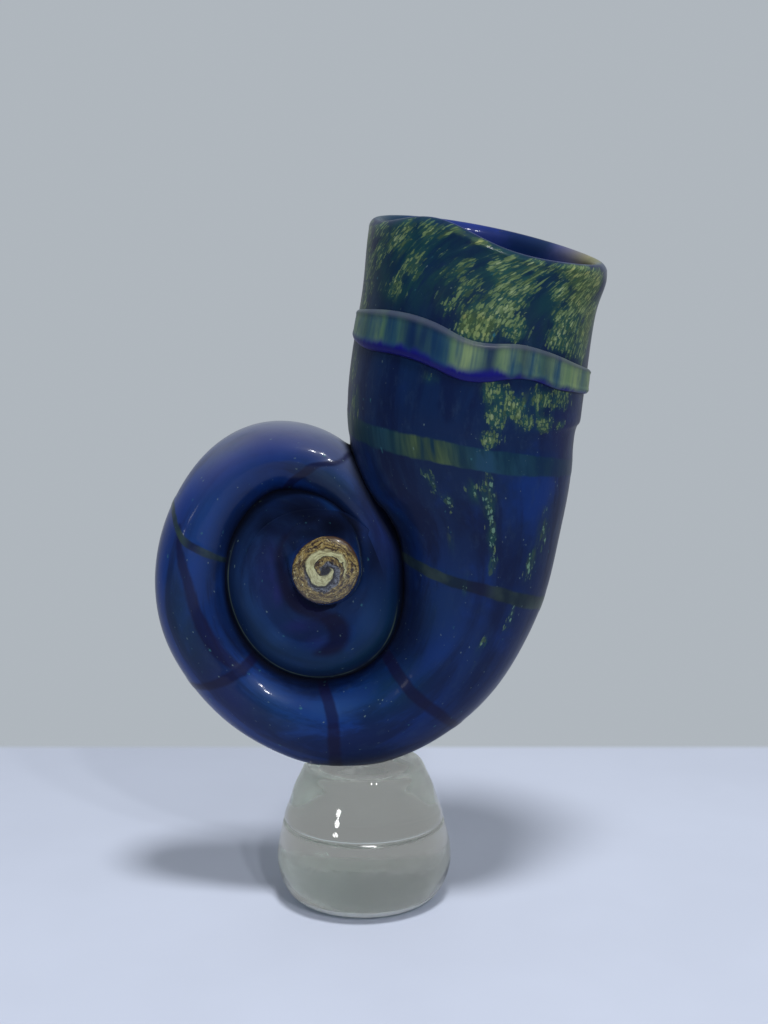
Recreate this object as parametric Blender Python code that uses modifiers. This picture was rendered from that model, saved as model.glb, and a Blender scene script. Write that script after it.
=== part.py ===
"""A coiled glass horn in the form of an ammonite, on a clear glass foot.

Metres, +Z up, +X to the viewer's right, and the front faces -Y. The origin is the centre of the
foot's flat base. Sizes below are in millimetres and become metres when a mesh is made.

The horn is one hollow tube. Its centre line runs from above the open mouth down the right side,
round under the coil and twice round it, and ends at the tip, which curls forward to the viewer.
A place on the horn is given by s, the way along the centre line from its start, and by an angle
round the tube: 0 is the coil's outside, 90 degrees the front, 180 the coil's inside.
"""

import math

import bmesh
import bpy
import numpy as np

MM = 0.001
MODEL_NAME = "glass_ammonite"

# Centre line of the horn, mouth to tip: x, y, z, half width in the coil's plane, half depth.
STATIONS = (
    (63.7, 0.0, 352.0, 59.0, 50.0),
    (60.5, 0.0, 330.0, 59.0, 50.0),
    (56.6, 0.0, 300.0, 58.4, 49.6),
    (51.5, 0.0, 264.0, 59.2, 49.5),
    (51.2, 0.0, 240.0, 57.4, 48.0),
    (56.0, 0.0, 218.0, 50.6, 44.5),
    (58.5, 0.0, 195.0, 42.6, 39.8),
    (57.0, 0.0, 170.0, 37.6, 36.6),
    (50.5, 0.0, 144.0, 33.2, 33.0),
    (38.0, 0.0, 121.0, 29.6, 29.6),
    (17.5, 0.0, 102.5, 26.8, 26.8),
    (-10.0, 0.0, 93.2, 24.8, 24.8),
    (-41.0, 0.0, 98.6, 21.8, 21.8),
    (-68.2, 0.0, 117.8, 19.8, 19.8),
    (-84.0, 0.0, 143.2, 19.2, 19.2),
    (-87.2, 0.0, 175.0, 19.0, 19.0),
    (-75.0, 0.0, 209.0, 18.4, 18.4),
    (-47.0, 0.0, 230.5, 18.0, 18.0),
    (-22.0, 0.0, 226.0, 17.2, 17.2),
    (-5.0, 0.0, 210.0, 15.6, 15.6),
    (4.0, 0.0, 193.0, 14.8, 15.0),
    (5.4, 0.0, 170.0, 15.6, 15.6),
    (0.5, 0.0, 147.0, 18.4, 17.0),
    (-20.0, 0.0, 135.0, 19.8, 18.0),
    (-40.0, 0.0, 140.5, 19.6, 18.0),
    (-51.2, 0.0, 158.5, 18.6, 17.5),
    (-52.0, 0.0, 180.0, 18.6, 17.4),
    (-42.5, -0.5, 195.0, 18.8, 17.6),
    (-30.0, -7.0, 196.0, 18.6, 18.2),
    (-20.5, -16.0, 186.0, 18.4, 18.4),
    (-18.4, -23.0, 176.6, 17.6, 17.6),
)

# Horn wall, lip and the gaps between pieces of glass.
WALL = 4.5
LIP_THICKNESS = 7.0
LIP_HEIGHT = 6.0
LIP_BLEND = 30.0
PIECE_GAP = 0.3
CAVITY_END = 252.0
CAVITY_END_TURNS = (30.0, 60.0)

# Rim: how far it stands from the level plane through the start of the centre line.
RIM_LEVEL = 6.7
RIM_TILT = 9.4
RIM_TILT_ANGLE = 296.0
RIM_SAG = 14.0
RIM_SAG_ANGLE = 1.0
RIM_SAG_SPREAD = 98.0
RIM_FOLD = 9.6
RIM_FOLD_ANGLE = 119.0
RIM_FOLD_SPREAD = 29.0
RIM_FADE = 75.0

# Corner of the lip that rolls outward, on the right.
ROLL_OUT = 2.4
ROLL_DEPTH = 9.0
ROLL_LENGTH = 10.0
ROLL_SPREAD = 48.0

# Where the tip turns to face the viewer, and the bevel round its flat end.
TIP_TURN = 26.0
TIP_BEVEL = 1.2

# Sampling of the solid.
AROUND = 34
RING_STEP = 0.42
CAVITY_STEP = 0.5
LIP_RINGS = 5
FINE_STEP = 1.0

# Raised ribbon below the mouth: s of its middle, width and height, each changing round the horn.
RIBBON_LEVEL = 68.3
RIBBON_TILT = 6.2
RIBBON_TILT_ANGLE = 35.0
RIBBON_WIDTH = 18.0
RIBBON_WIDTH_CHANGE = 5.0
RIBBON_HEIGHT = 1.9
RIBBON_HEIGHT_CHANGE = 0.4
RIBBON_ARC = (30.0, 68.0, 112.0, 150.0)

# Hub: the glass that closes the middle of the coil, as middle and half size.
HUB_MIDDLE = (-17.0, -3.0, 163.0)
HUB_SIZE = (21.0, 16.0, 25.0)
HUB_SEGMENTS = 24
HUB_RINGS = 12

# Eye of the coil.
MURRINE_RADIUS = 16.8
MURRINE_RIM = 1.6
MURRINE_CROWN = 3.2
MURRINE_BEVEL = 0.6
MURRINE_TURNS = (20.0, 40.0, 60.0, 80.0)

# Foot: outer profile from the shoulder down to the base.
FOOT_PROFILE = (
    (20.0, 78.5),
    (26.0, 77.0),
    (30.0, 73.5),
    (32.6, 68.5),
    (36.2, 58.0),
    (40.6, 45.0),
    (41.9, 40.5),
    (43.9, 32.0),
    (45.4, 22.0),
    (44.6, 14.0),
    (42.0, 7.0),
    (38.4, 2.2),
    (34.0, 0.0),
)
FOOT_STEPS = 36
SEAT_START = 215.0
SEAT_END = 345.0


def clear_scene():
    for item in list(bpy.data.objects):
        bpy.data.objects.remove(item, do_unlink=True)


def new_collection(name):
    group = bpy.data.collections.new(name)
    bpy.context.scene.collection.children.link(group)
    return group


def new_material(name, colour, roughness, transmission=0.0):
    made = bpy.data.materials.new(name)
    made.use_nodes = True
    shader = made.node_tree.nodes["Principled BSDF"]
    shader.inputs["Base Color"].default_value = (*colour, 1.0)
    shader.inputs["Roughness"].default_value = roughness
    shader.inputs["Metallic"].default_value = 0.0
    shader.inputs["Transmission Weight"].default_value = transmission
    shader.inputs["IOR"].default_value = 1.5
    return made


def angles():
    """The angles round the tube at which every ring has its points."""
    return np.arange(AROUND) * (2.0 * math.pi / AROUND)


def smooth_step(value):
    value = np.clip(value, 0.0, 1.0)
    return value * value * (3.0 - 2.0 * value)


def hump(angle, middle, spread):
    """1 at the middle angle, falling to 0 to each side. Middle and spread are in degrees."""
    away = (angle - math.radians(middle) + math.pi) % (2.0 * math.pi) - math.pi
    return np.exp(-((away / math.radians(spread)) ** 2))


def natural_spline(knots, values, places):
    """The natural cubic spline through values at knots, read at places."""
    step = np.diff(knots)
    count = len(knots)
    matrix = np.eye(count)
    right = np.zeros((count, values.shape[1]))
    slope = np.diff(values, axis=0) / step[:, None]
    for i in range(1, count - 1):
        matrix[i, i - 1 : i + 2] = step[i - 1], 2.0 * (step[i - 1] + step[i]), step[i]
        right[i] = 6.0 * (slope[i] - slope[i - 1])
    bend = np.linalg.solve(matrix, right)
    left = np.clip(np.searchsorted(knots, places, side="right") - 1, 0, count - 2)
    wide = step[left][:, None]
    after = (places - knots[left])[:, None]
    before = wide - after
    curve = (bend[left] * before**3 + bend[left + 1] * after**3) / (6.0 * wide)
    curve += (values[left] / wide - bend[left] * wide / 6.0) * before
    curve += (values[left + 1] / wide - bend[left + 1] * wide / 6.0) * after
    return curve


def unit(vectors):
    return vectors / np.linalg.norm(vectors, axis=-1, keepdims=True)


class Horn:
    """The horn's centre line with its widths and, at each place, its outward and front directions."""

    def __init__(self):
        table = np.array(STATIONS)
        knots = np.concatenate([[0.0], np.cumsum(np.linalg.norm(np.diff(table[:, :3], axis=0), axis=1))])
        self.s = np.linspace(0.0, knots[-1], int(knots[-1] / FINE_STEP) + 1)
        read = natural_spline(knots, table, self.s)
        self.centre = read[:, :3]
        self.width = read[:, 3]
        self.depth = read[:, 4]
        self.length = knots[-1]
        self.outward, self.front = self.ring_directions()

    def ring_directions(self):
        """Rings stand square to the centre line, but the last ones turn to face the viewer."""
        along = unit(np.gradient(self.centre, axis=0))
        share = smooth_step((self.s - self.length + TIP_TURN) / TIP_TURN)[:, None]
        along = unit(along * (1.0 - share) + np.array([0.0, -1.0, 0.0]) * share)
        outward = np.empty_like(along)
        now = np.array([1.0, 0.0, 0.0])
        for i, direction in enumerate(along):
            now = unit(now - direction * now.dot(direction))
            outward[i] = now
        return outward, np.cross(along, outward)

    def at(self, values, s):
        if values.ndim == 1:
            return np.interp(s, self.s, values)
        return np.stack([np.interp(s, self.s, column) for column in values.T], axis=-1)

    def surface(self, s, angle, inset=0.0):
        """Points on the horn's outside, or inset below it, at s and angle."""
        across = (self.at(self.width, s) - inset + roll_out(s, angle)) * np.cos(angle)
        deep = (self.at(self.depth, s) - inset) * np.sin(angle)
        side = self.at(self.outward, s) * across[:, None] + self.at(self.front, s) * deep[:, None]
        return self.at(self.centre, s) + side


def rim_place(angle):
    """s of the rim's crest: low at the back, and sagging at the front right."""
    tilt = RIM_TILT * np.cos(angle - math.radians(RIM_TILT_ANGLE))
    sag = RIM_SAG * hump(angle, RIM_SAG_ANGLE, RIM_SAG_SPREAD)
    fold = RIM_FOLD * hump(angle, RIM_FOLD_ANGLE, RIM_FOLD_SPREAD)
    return RIM_LEVEL - tilt + sag - fold


def below_rim(s, angle):
    """The real s of a ring that would lie at s if the rim were level."""
    return s + rim_place(angle) * np.clip(1.0 - s / RIM_FADE, 0.0, 1.0)


def roll_out(s, angle):
    """The lip's right-hand corner rolls outward a little."""
    near = np.exp(-(((s - rim_place(angle) - ROLL_DEPTH) / ROLL_LENGTH) ** 2))
    return ROLL_OUT * near * hump(angle, 0.0, ROLL_SPREAD)


def ring_places(horn, start, end, step):
    """Values of s from start to end, spaced by the horn's width there."""
    found = [start]
    while found[-1] < end:
        found.append(found[-1] + step * float(horn.at(horn.width, found[-1])))
    return start + (np.array(found) - start) * (end - start) / (found[-1] - start)


def outer_rings(horn):
    """From the tip's flat end to the lip."""
    ends = ring_places(horn, LIP_HEIGHT, horn.length, RING_STEP)[::-1]
    rings = [horn.surface(np.full(AROUND, horn.length), angles(), horn.width[-1] - MURRINE_RADIUS)]
    for s in ends:
        place = below_rim(np.full(AROUND, s), angles())
        rings.append(horn.surface(place, angles()))
    rings[1] += np.array([0.0, TIP_BEVEL, 0.0])
    return rings


def lip_rings(horn):
    """A half ellipse from the outside wall over the crest to the inside wall."""
    rings = []
    for i in range(1, LIP_RINGS + 1):
        turn = math.pi * i / (LIP_RINGS + 1)
        place = below_rim(np.full(AROUND, LIP_HEIGHT * (1.0 - math.sin(turn))), angles())
        rings.append(horn.surface(place, angles(), 0.5 * LIP_THICKNESS * (1.0 - math.cos(turn))))
    return rings


def cavity_rings(horn):
    """The inside wall, down the tube to a rounded end."""
    rings = []
    for s in ring_places(horn, LIP_HEIGHT, CAVITY_END, CAVITY_STEP):
        thicker = (LIP_THICKNESS - WALL) * float(1.0 - smooth_step((s - LIP_HEIGHT) / LIP_BLEND))
        place = below_rim(np.full(AROUND, s), angles())
        rings.append(horn.surface(place, angles(), WALL + thicker))
    end_radius = float(horn.at(horn.width, CAVITY_END)) - WALL
    for turn in CAVITY_END_TURNS:
        turn = math.radians(turn)
        place = np.full(AROUND, CAVITY_END + end_radius * math.sin(turn))
        rings.append(horn.surface(place, angles(), WALL + end_radius * (1.0 - math.cos(turn))))
    return rings


def sleeve(name, rings, group, material):
    """One closed body: the rings joined by quads, with a fan on the first and the last ring."""
    count = len(rings[0])
    points = np.concatenate([*rings, [rings[0].mean(axis=0)], [rings[-1].mean(axis=0)]])
    first, last = len(rings) * count, len(rings) * count + 1
    faces = []
    for ring in range(len(rings) - 1):
        for i in range(count):
            j = (i + 1) % count
            low, high = ring * count, (ring + 1) * count
            faces.append((low + i, low + j, high + j, high + i))
    top = (len(rings) - 1) * count
    for i in range(count):
        j = (i + 1) % count
        faces.append((j, i, first))
        faces.append((top + i, top + j, last))
    return mesh_object(name, points, faces, group, material)


def mesh_object(name, points, faces, group, material):
    mesh = bpy.data.meshes.new(name)
    mesh.from_pydata([tuple(point) for point in np.asarray(points) * MM], [], faces)
    shape = bmesh.new()
    shape.from_mesh(mesh)
    bmesh.ops.recalc_face_normals(shape, faces=shape.faces)
    shape.to_mesh(mesh)
    shape.free()
    mesh.shade_smooth()
    made = bpy.data.objects.new(name, mesh)
    if material:
        mesh.materials.append(material)
    group.objects.link(made)
    return made


def turned(name, profile, steps, group, material):
    """A body turned about its own Z axis from a profile that runs from its top to its bottom."""
    mesh = bpy.data.meshes.new(name)
    points = [(radius * MM, 0.0, height * MM) for radius, height in profile]
    mesh.from_pydata(points, [(i, i + 1) for i in range(len(points) - 1)], [])
    mesh.materials.append(material)
    made = bpy.data.objects.new(name, mesh)
    group.objects.link(made)
    screw = made.modifiers.new("turn", "SCREW")
    screw.axis = "Z"
    screw.steps = steps
    screw.render_steps = steps
    screw.use_merge_vertices = True
    screw.merge_threshold = 0.00001
    screw.use_smooth_shade = True
    return made


def make_hub(cutters):
    """A flattened ball that joins the whorls in the middle of the coil."""
    mesh = bpy.data.meshes.new("hub")
    shape = bmesh.new()
    bmesh.ops.create_uvsphere(shape, u_segments=HUB_SEGMENTS, v_segments=HUB_RINGS, radius=1.0)
    bmesh.ops.scale(shape, vec=[size * MM for size in HUB_SIZE], verts=shape.verts)
    shape.to_mesh(mesh)
    shape.free()
    hub = bpy.data.objects.new("hub", mesh)
    hub.location = [place * MM for place in HUB_MIDDLE]
    return hide_tool(hub, cutters)


def hide_tool(tool, cutters):
    tool.hide_render = True
    tool.display_type = "WIRE"
    if tool.name not in cutters.objects:
        cutters.objects.link(tool)
    return tool


def combine(target, tool, operation, own_overlaps=False):
    step = target.modifiers.new(tool.name, "BOOLEAN")
    step.operation = operation
    step.solver = "EXACT"
    step.use_self = own_overlaps
    step.object = tool


def make_shell(horn, group, cutters):
    """The horn's sleeve overlaps itself where its whorls touch, and the union fuses it there."""
    blue = new_material("blue_glass", (0.03, 0.06, 0.33), 0.3)
    rings = outer_rings(horn) + lip_rings(horn) + cavity_rings(horn)
    shell = sleeve("shell", rings, group, blue)
    combine(shell, make_hub(cutters), "UNION", own_overlaps=True)
    return shell


def ribbon_section(horn, angle):
    """The ribbon's cross-section at one angle: flat on the horn, rounded outside."""
    turn = math.cos(angle)
    middle = RIBBON_LEVEL + RIBBON_TILT * math.cos(angle - math.radians(RIBBON_TILT_ANGLE))
    half = 0.5 * (RIBBON_WIDTH - RIBBON_WIDTH_CHANGE * turn)
    height = RIBBON_HEIGHT - RIBBON_HEIGHT_CHANGE * turn
    places = [middle - half, middle, middle + half]
    raised = [PIECE_GAP] * 3
    for turn in RIBBON_ARC:
        places.append(middle + half * math.cos(math.radians(turn)))
        raised.append(PIECE_GAP + height * math.sin(math.radians(turn)))
    return horn.surface(np.array(places), np.full(len(places), angle), -np.array(raised))


def make_ribbon(horn, group):
    teal = new_material("ribbon_glass", (0.05, 0.16, 0.3), 0.3)
    sections = [ribbon_section(horn, angle) for angle in angles()]
    size = len(sections[0])
    faces = []
    for i in range(AROUND):
        j = (i + 1) % AROUND
        for k in range(size):
            m = (k + 1) % size
            faces.append((i * size + k, i * size + m, j * size + m, j * size + k))
    return mesh_object("mouth_ribbon", np.concatenate(sections), faces, group, teal)


def make_murrine(horn, group):
    """The slice of patterned cane on the tip: a low dome that faces the viewer."""
    gold = new_material("murrine_glass", (0.45, 0.33, 0.14), 0.25)
    profile = [(0.0, MURRINE_RIM + MURRINE_CROWN)]
    for turn in MURRINE_TURNS:
        turn = math.radians(turn)
        profile.append((MURRINE_RADIUS * math.sin(turn), MURRINE_RIM + MURRINE_CROWN * math.cos(turn)))
    profile.append((MURRINE_RADIUS, 0.5 * MURRINE_RIM))
    profile += [(MURRINE_RADIUS - MURRINE_BEVEL, 0.0), (0.0, 0.0)]
    made = turned("murrine", profile, AROUND, group, gold)
    made.rotation_euler = (math.radians(90.0), 0.0, 0.0)
    made.location = (horn.centre[-1] - np.array([0.0, PIECE_GAP, 0.0])) * MM
    return made


def make_foot(horn, group, cutters):
    """A solid pear-shaped foot, its top hollowed to seat the underside of the coil."""
    clear = new_material("clear_glass", (0.95, 0.97, 0.97), 0.02, transmission=1.0)
    profile = [(0.0, FOOT_PROFILE[0][1]), *FOOT_PROFILE, (0.0, FOOT_PROFILE[-1][1])]
    foot = turned("foot", profile, FOOT_STEPS, group, clear)
    places = ring_places(horn, LIP_HEIGHT, horn.length, RING_STEP)
    places = places[(places > SEAT_START) & (places < SEAT_END)]
    rings = [horn.surface(np.full(AROUND, s), angles(), -PIECE_GAP) for s in places]
    seat = hide_tool(sleeve("foot_seat", rings, cutters, None), cutters)
    combine(foot, seat, "DIFFERENCE")
    return foot


def main():
    clear_scene()
    group = new_collection(MODEL_NAME)
    cutters = new_collection("cutters")
    horn = Horn()
    make_shell(horn, group, cutters)
    make_ribbon(horn, group)
    make_murrine(horn, group)
    make_foot(horn, group, cutters)


main()
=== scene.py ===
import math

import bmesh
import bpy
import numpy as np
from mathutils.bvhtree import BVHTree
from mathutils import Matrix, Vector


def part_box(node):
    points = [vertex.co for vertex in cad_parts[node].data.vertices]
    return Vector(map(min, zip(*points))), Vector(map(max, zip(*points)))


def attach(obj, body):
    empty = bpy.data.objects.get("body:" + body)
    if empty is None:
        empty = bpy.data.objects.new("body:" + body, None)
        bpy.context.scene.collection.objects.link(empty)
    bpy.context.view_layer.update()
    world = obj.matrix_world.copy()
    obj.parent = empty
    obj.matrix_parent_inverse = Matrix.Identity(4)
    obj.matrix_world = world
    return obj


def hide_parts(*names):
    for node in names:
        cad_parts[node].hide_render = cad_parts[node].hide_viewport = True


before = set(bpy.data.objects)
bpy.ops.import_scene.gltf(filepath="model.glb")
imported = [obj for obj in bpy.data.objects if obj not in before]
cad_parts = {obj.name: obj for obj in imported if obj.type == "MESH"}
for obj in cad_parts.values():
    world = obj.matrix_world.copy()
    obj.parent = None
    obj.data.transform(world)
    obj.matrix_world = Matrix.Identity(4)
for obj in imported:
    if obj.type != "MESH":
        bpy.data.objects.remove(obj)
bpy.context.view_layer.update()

# The looks of a coiled glass horn in the form of an ammonite, on a clear glass foot.
#
# The horn repeats the construction of the model's shell at a much finer pitch: one tube whose
# centre line runs from above the open mouth down the right side, round under the coil and twice
# round it, to the eye. A place on it is s, the way along the centre line from its start, and an
# angle round the tube: 0 is the coil's outside, 90 degrees the front, 180 the coil's inside. The
# level of a ring is the s that it would have under a level rim. Sizes are in millimetres, and become
# metres when a mesh is made. Lamps, camera and floor are in metres from the start.

MM = 0.001
FAR = 1000.0

# Centre line of the horn, mouth to tip: x, y, z, half width in the coil's plane, half depth.
STATIONS = (
    (63.7, 0, 352, 59, 50),
    (60.5, 0, 330, 59, 50),
    (56.6, 0, 300, 58.4, 49.6),
    (51.5, 0, 264, 59.2, 49.5),
    (51.2, 0, 240, 57.4, 48),
    (56, 0, 218, 50.6, 44.5),
    (58.5, 0, 195, 42.6, 39.8),
    (57, 0, 170, 37.6, 36.6),
    (50.5, 0, 144, 33.2, 33),
    (38, 0, 121, 29.6, 29.6),
    (17.5, 0, 102.5, 26.8, 26.8),
    (-10, 0, 93.2, 24.8, 24.8),
    (-41, 0, 98.6, 21.8, 21.8),
    (-68.2, 0, 117.8, 19.8, 19.8),
    (-84, 0, 143.2, 19.2, 19.2),
    (-87.2, 0, 175, 19, 19),
    (-75, 0, 209, 18.4, 18.4),
    (-47, 0, 230.5, 18, 18),
    (-22, 0, 226, 17.2, 17.2),
    (-5, 0, 210, 15.6, 15.6),
    (4, 0, 193, 14.8, 15),
    (5.4, 0, 170, 15.6, 15.6),
    (0.5, 0, 147, 18.4, 17),
    (-20, 0, 135, 19.8, 18),
    (-40, 0, 140.5, 19.6, 18),
    (-51.2, 0, 158.5, 18.6, 17.5),
    (-52, 0, 180, 18.6, 17.4),
    (-42.5, -0.5, 195, 18.8, 17.6),
    (-30, -7, 196, 18.6, 18.2),
    (-20.5, -16, 186, 18.4, 18.4),
    (-18.4, -23, 176.6, 17.6, 17.6),
)

# Horn wall and lip. The bore ends in a bowl, whose rings lie at these turns in degrees.
WALL = 4.5
LIP_THICKNESS = 7
LIP_HEIGHT = 6
LIP_BLEND = 30
CAVITY_END = 252
CAVITY_END_TURNS = (10, 20, 30, 40, 50, 60, 70, 80)

# Rim: how far it stands from the level plane through the start of the centre line.
RIM_LEVEL = 6.75
RIM_TILT = 9.4
RIM_TILT_ANGLE = 296
RIM_SAG = 14
RIM_SAG_ANGLE = 1
RIM_SAG_SPREAD = 98
RIM_FOLD = 9.6
RIM_FOLD_ANGLE = 119
RIM_FOLD_SPREAD = 29
RIM_FADE = 75

# Corner of the lip that rolls outward, on the right.
ROLL_OUT = 2.4
ROLL_DEPTH = 9
ROLL_LENGTH = 10
ROLL_SPREAD = 48

# How long before its end the tip begins to turn to the viewer, and loses its relief.
TIP_TURN = 26
CALM_TIP = 30

# Sampling of the horn.
AROUND = 144
RING_GAP = 0.8
RING_GROWTH = 0.022
CAVITY_GAP = 2.2
LIP_RINGS = 13
FINE_STEP = 1
STREAK_PIECES = 20
CURL_PIECES = 12

# Whorls closer than this along the centre line are the same stretch, and don't blend. The others
# swell within one distance from each other, and get painted shade within the next.
OWN_STRETCH = 88
GROOVE_BLEND = 3
GROOVE_SHADE = 4.2

# Relief: the horn and the ribbon settle a little below the solids, and ripples and trails rise from
# there. Ripples: share of the height, how far along each turns by a radian, how many go round, start.
SETTLE = 0.22
TRAIL_HEIGHT = 0.22
TRAIL_EDGE = 1.2
RIPPLE_HEIGHT = 0.12
RIPPLES = ((1, 9, 2, 0), (1, 15, -3, 1), (0.5, 6.3, 5, 2))

# Heart of the coil: glass that slopes from the eye down to the whorls round it, and fills behind it.
HUB_MIDDLE = (-17, -3, 163)
HUB_SIZE = (21, 16, 25)
HUB_BLEND = 9
HEART_MIDDLE = (-24, 170)
HEART_START = 0.4
HEART_RADIUS = 37
HEART_MARGIN = 3
HEART_SINK = 0.1
HEART_RINGS = 60
HEART_PITCH = 0.7
HEART_FACE = -8
SKIRT_TOP = 22.6
SKIRT_RADIUS = 16.9
SKIRT_SLOPE = 27
SKIRT_STEEP = 58
SKIRT_STEEP_ANGLE = 22
SKIRT_STEEP_SPREAD = 58
SKIRT_BLEND = 8
SHOULDER_TURN = 118
SHOULDER_AWAY = 26
SHOULDER_TOP = 25.4
SHOULDER_SIDE = 44
SHOULDER_IN = 25
SHOULDER_OUT = 10
RAY_START = 80

# Trails wound round the horn: angle in degrees, s of the trail's middle, half its width.
MOUTH_TRAIL = (
    (18, 136, 3), (48, 132, 4.2), (64, 128, 5.4), (80, 122.5, 6.2), (93, 117.5, 5.6), (107, 113, 5),
    (121, 110, 4.2), (138, 107.5, 3.6), (165, 104.5, 3.5), (225, 106, 4), (270, 118, 5), (315, 131, 4),
)
OLIVE_TRAIL = (
    (0, 190.5, 2.6), (32, 189, 2.9), (55, 187.5, 3.2), (74, 185.5, 3.2), (97, 183.5, 3.2),
    (121, 181.5, 3.4), (140, 179, 3.6), (170, 176, 3.2), (225, 178, 2.6), (270, 184, 2.4), (315, 188, 2.2),
)
COIL_TRAIL = (
    (0, 446, 1.4), (37, 443, 1.6), (56, 438.5, 2), (75, 434, 2.3), (93, 432, 2.2), (117, 430, 2.2),
    (140, 428, 2), (200, 428, 2), (270, 436, 2),
)
VIOLET_TRAILS = (
    ((0, 248, 1.5), (40, 248.5, 1.8), (71, 248.5, 2.7), (91, 250, 3.2), (114, 250.5, 3.6),
     (139, 249.5, 4.4), (200, 250, 4), (270, 250, 2.6)),
    ((0, 297, 2.2), (45, 297.5, 2.5), (82, 298, 3), (106, 298.5, 3.5), (130, 302, 4), (156, 307, 4),
     (200, 306, 3.6), (270, 300, 2.6)),
    ((0, 368, 1.6), (41, 365, 1.8), (74, 361.5, 2.5), (101, 359, 3), (121, 358, 3.2), (170, 358, 3),
     (270, 364, 2.2)),
    ((0, 526, 0.9), (38, 524, 1.1), (70, 520.5, 1.5), (87, 514.5, 2.2), (103, 511.5, 2.6), (121, 507, 3.2),
     (154, 501.5, 3.4), (200, 501, 3), (270, 514, 1.8)),
)

# Streaks drawn along the horn: s, angle in degrees, half width.
VIOLET_STREAKS = (
    ((440, 60, 0.8), (431, 70, 1.8), (418, 86, 2.7), (404, 97, 2.9), (386, 104, 3.6), (371, 110, 3.2),
     (356, 118, 2.2)),
    ((18, 24, 0.3), (22, 21, 0.7), (28, 18, 0.8), (35, 15, 0.4)),
)
TAN_STREAKS = (
    ((1, 116, 0.4), (1.6, 111, 1), (2.6, 105, 1.5), (5, 99, 1.2), (8.5, 94, 0.5)),
    ((0.5, 70, 0.4), (1, 60, 0.8), (1.2, 48, 1), (1, 34, 0.5)),
)

# Patches by field: level, angle in degrees, half length along and round the horn, strength. The first
# are clusters of flecks and the next their warmer colours; the rest is other glass under the surface,
# but the dark patches also hold painted shade, the lilac ones are a painted sheen, and the light ones
# also hold a painted sheen.
FLECK_CLUSTERS = (
    (10, 172, 14, 9, 0.7), (30, 164, 20, 10, 0.68), (50, 168, 14, 10, 0.58), (11, 138, 12, 8, 0.7),
    (26, 126, 12, 7, 0.6), (40, 138, 8, 10, 0.58), (4, 154, 9, 9, 0.72), (6, 116, 6, 9, 0.5),
    (24, 108, 16, 14, 0.44), (44, 104, 10, 10, 0.48), (18, 152, 10, 5, 0.62), (64, 160, 8, 9, 0.5),
    (54, 92, 7, 11, 1), (43, 86, 9, 11, 1.05), (31, 81, 9, 9, 0.95), (18, 75, 10, 8, 0.85),
    (6, 70, 8, 10, 0.8), (48, 76, 9, 8, 0.75), (3, 46, 9, 16, 1.05), (12, 36, 11, 13, 1.05),
    (25, 37, 11, 12, 1), (38, 43, 10, 9, 0.95), (49, 50, 8, 9, 0.9), (46, 28, 12, 11, 0.75),
    (56, 34, 8, 12, 0.6), (2, 94, 4, 14, 0.85), (12, 27, 12, 8, 0.95), (36, 16, 18, 10, 0.7),
    (33, 24, 12, 10, 0.9), (52, 44, 8, 8, 0.9), (58, 29, 7, 9, 0.75), (50, 92, 7, 9, 1),
    (46, 76, 8, 7, 0.85), (13, 84, 9, 7, 0.95), (23, 81, 9, 7, 0.95), (7, 78, 7, 7, 0.8),
    (20, 54, 10, 7, 0.7), (36, 51, 8, 6, 0.85), (5, 134, 9, 5, 0.8), (7, 121, 8, 5, 0.7),
    (20, 122, 14, 4, 0.5), (36, 137, 7, 6, 0.62), (2, 106, 4, 6, 0.8), (24, 101, 20, 10, 0.52),
    (84, 166, 10, 9, 0.5), (97, 160, 9, 8, 0.48), (83, 110, 3.5, 4, 0.62), (86, 80, 7, 6, 0.85),
    (98, 78, 9, 5, 0.85), (92, 68, 8, 10, 0.8), (88, 54, 7, 10, 0.8), (102, 52, 9, 6, 0.7),
    (110, 80, 6, 5, 0.72), (86, 42, 8, 9, 0.62), (100, 62, 8, 8, 0.62), (106, 40, 8, 6, 0.45),
    (140, 85, 13, 3.6, 0.78), (157, 84, 10, 3, 0.66), (126, 114, 7, 2.8, 0.62), (137, 108, 6, 2.4, 0.55),
    (172, 52, 9, 3.8, 0.66), (156, 46, 14, 5, 0.46), (135, 93, 7, 3.2, 0.66), (173, 84, 7, 2.8, 0.6),
    (160, 112, 10, 2.4, 0.44), (196, 58, 12, 3, 0.36), (215, 74, 14, 2.6, 0.34), (184, 100, 10, 2.4, 0.34),
    (20, 300, 26, 30, 0.85), (34, 240, 26, 26, 0.7), (10, 205, 14, 18, 0.6), (90, 300, 12, 18, 0.7),
    (95, 235, 10, 14, 0.6), (145, 290, 18, 4, 0.5),
)
GOLDEN_PATCHES = (
    (12, 36, 22, 18, 1), (3, 104, 6, 14, 1), (50, 92, 9, 12, 0.9), (40, 24, 14, 14, 0.8),
    (10, 170, 20, 14, 0.6), (20, 300, 30, 30, 0.8), (106, 50, 14, 10, 0.5), (172, 50, 30, 10, 0.8),
)
TEAL_PATCHES = (
    (24, 128, 22, 22, 0.85), (16, 84, 16, 12, 0.7), (34, 60, 20, 10, 0.55), (256, 118, 24, 12, 0.6),
    (205, 120, 22, 10, 0.35), (340, 96, 26, 9, 0.35), (392, 74, 26, 8, 0.5), (440, 104, 26, 8, 0.35),
    (520, 84, 18, 8, 0.75), (612, 62, 30, 9, 0.75), (650, 66, 26, 8, 0.45), (672, 112, 24, 7, 0.4),
    (265, 300, 30, 14, 0.5), (420, 285, 40, 12, 0.5), (60, 270, 40, 30, 0.6),
)
VIOLET_PATCHES = (
    (497, 44, 26, 12, 0.9), (472, 62, 18, 9, 0.6), (448, 58, 20, 9, 0.35), (560, 62, 24, 8, 0.45),
    (38, 104, 16, 16, 0.6), (44, 62, 12, 9, 0.45), (690, 110, 30, 7, 0.55), (352, 80, 16, 9, 0.35),
    (110, 30, 26, 18, 0.4), (300, 290, 40, 12, 0.5), (500, 300, 40, 12, 0.6), (95, 205, 30, 18, 0.4),
)
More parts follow.
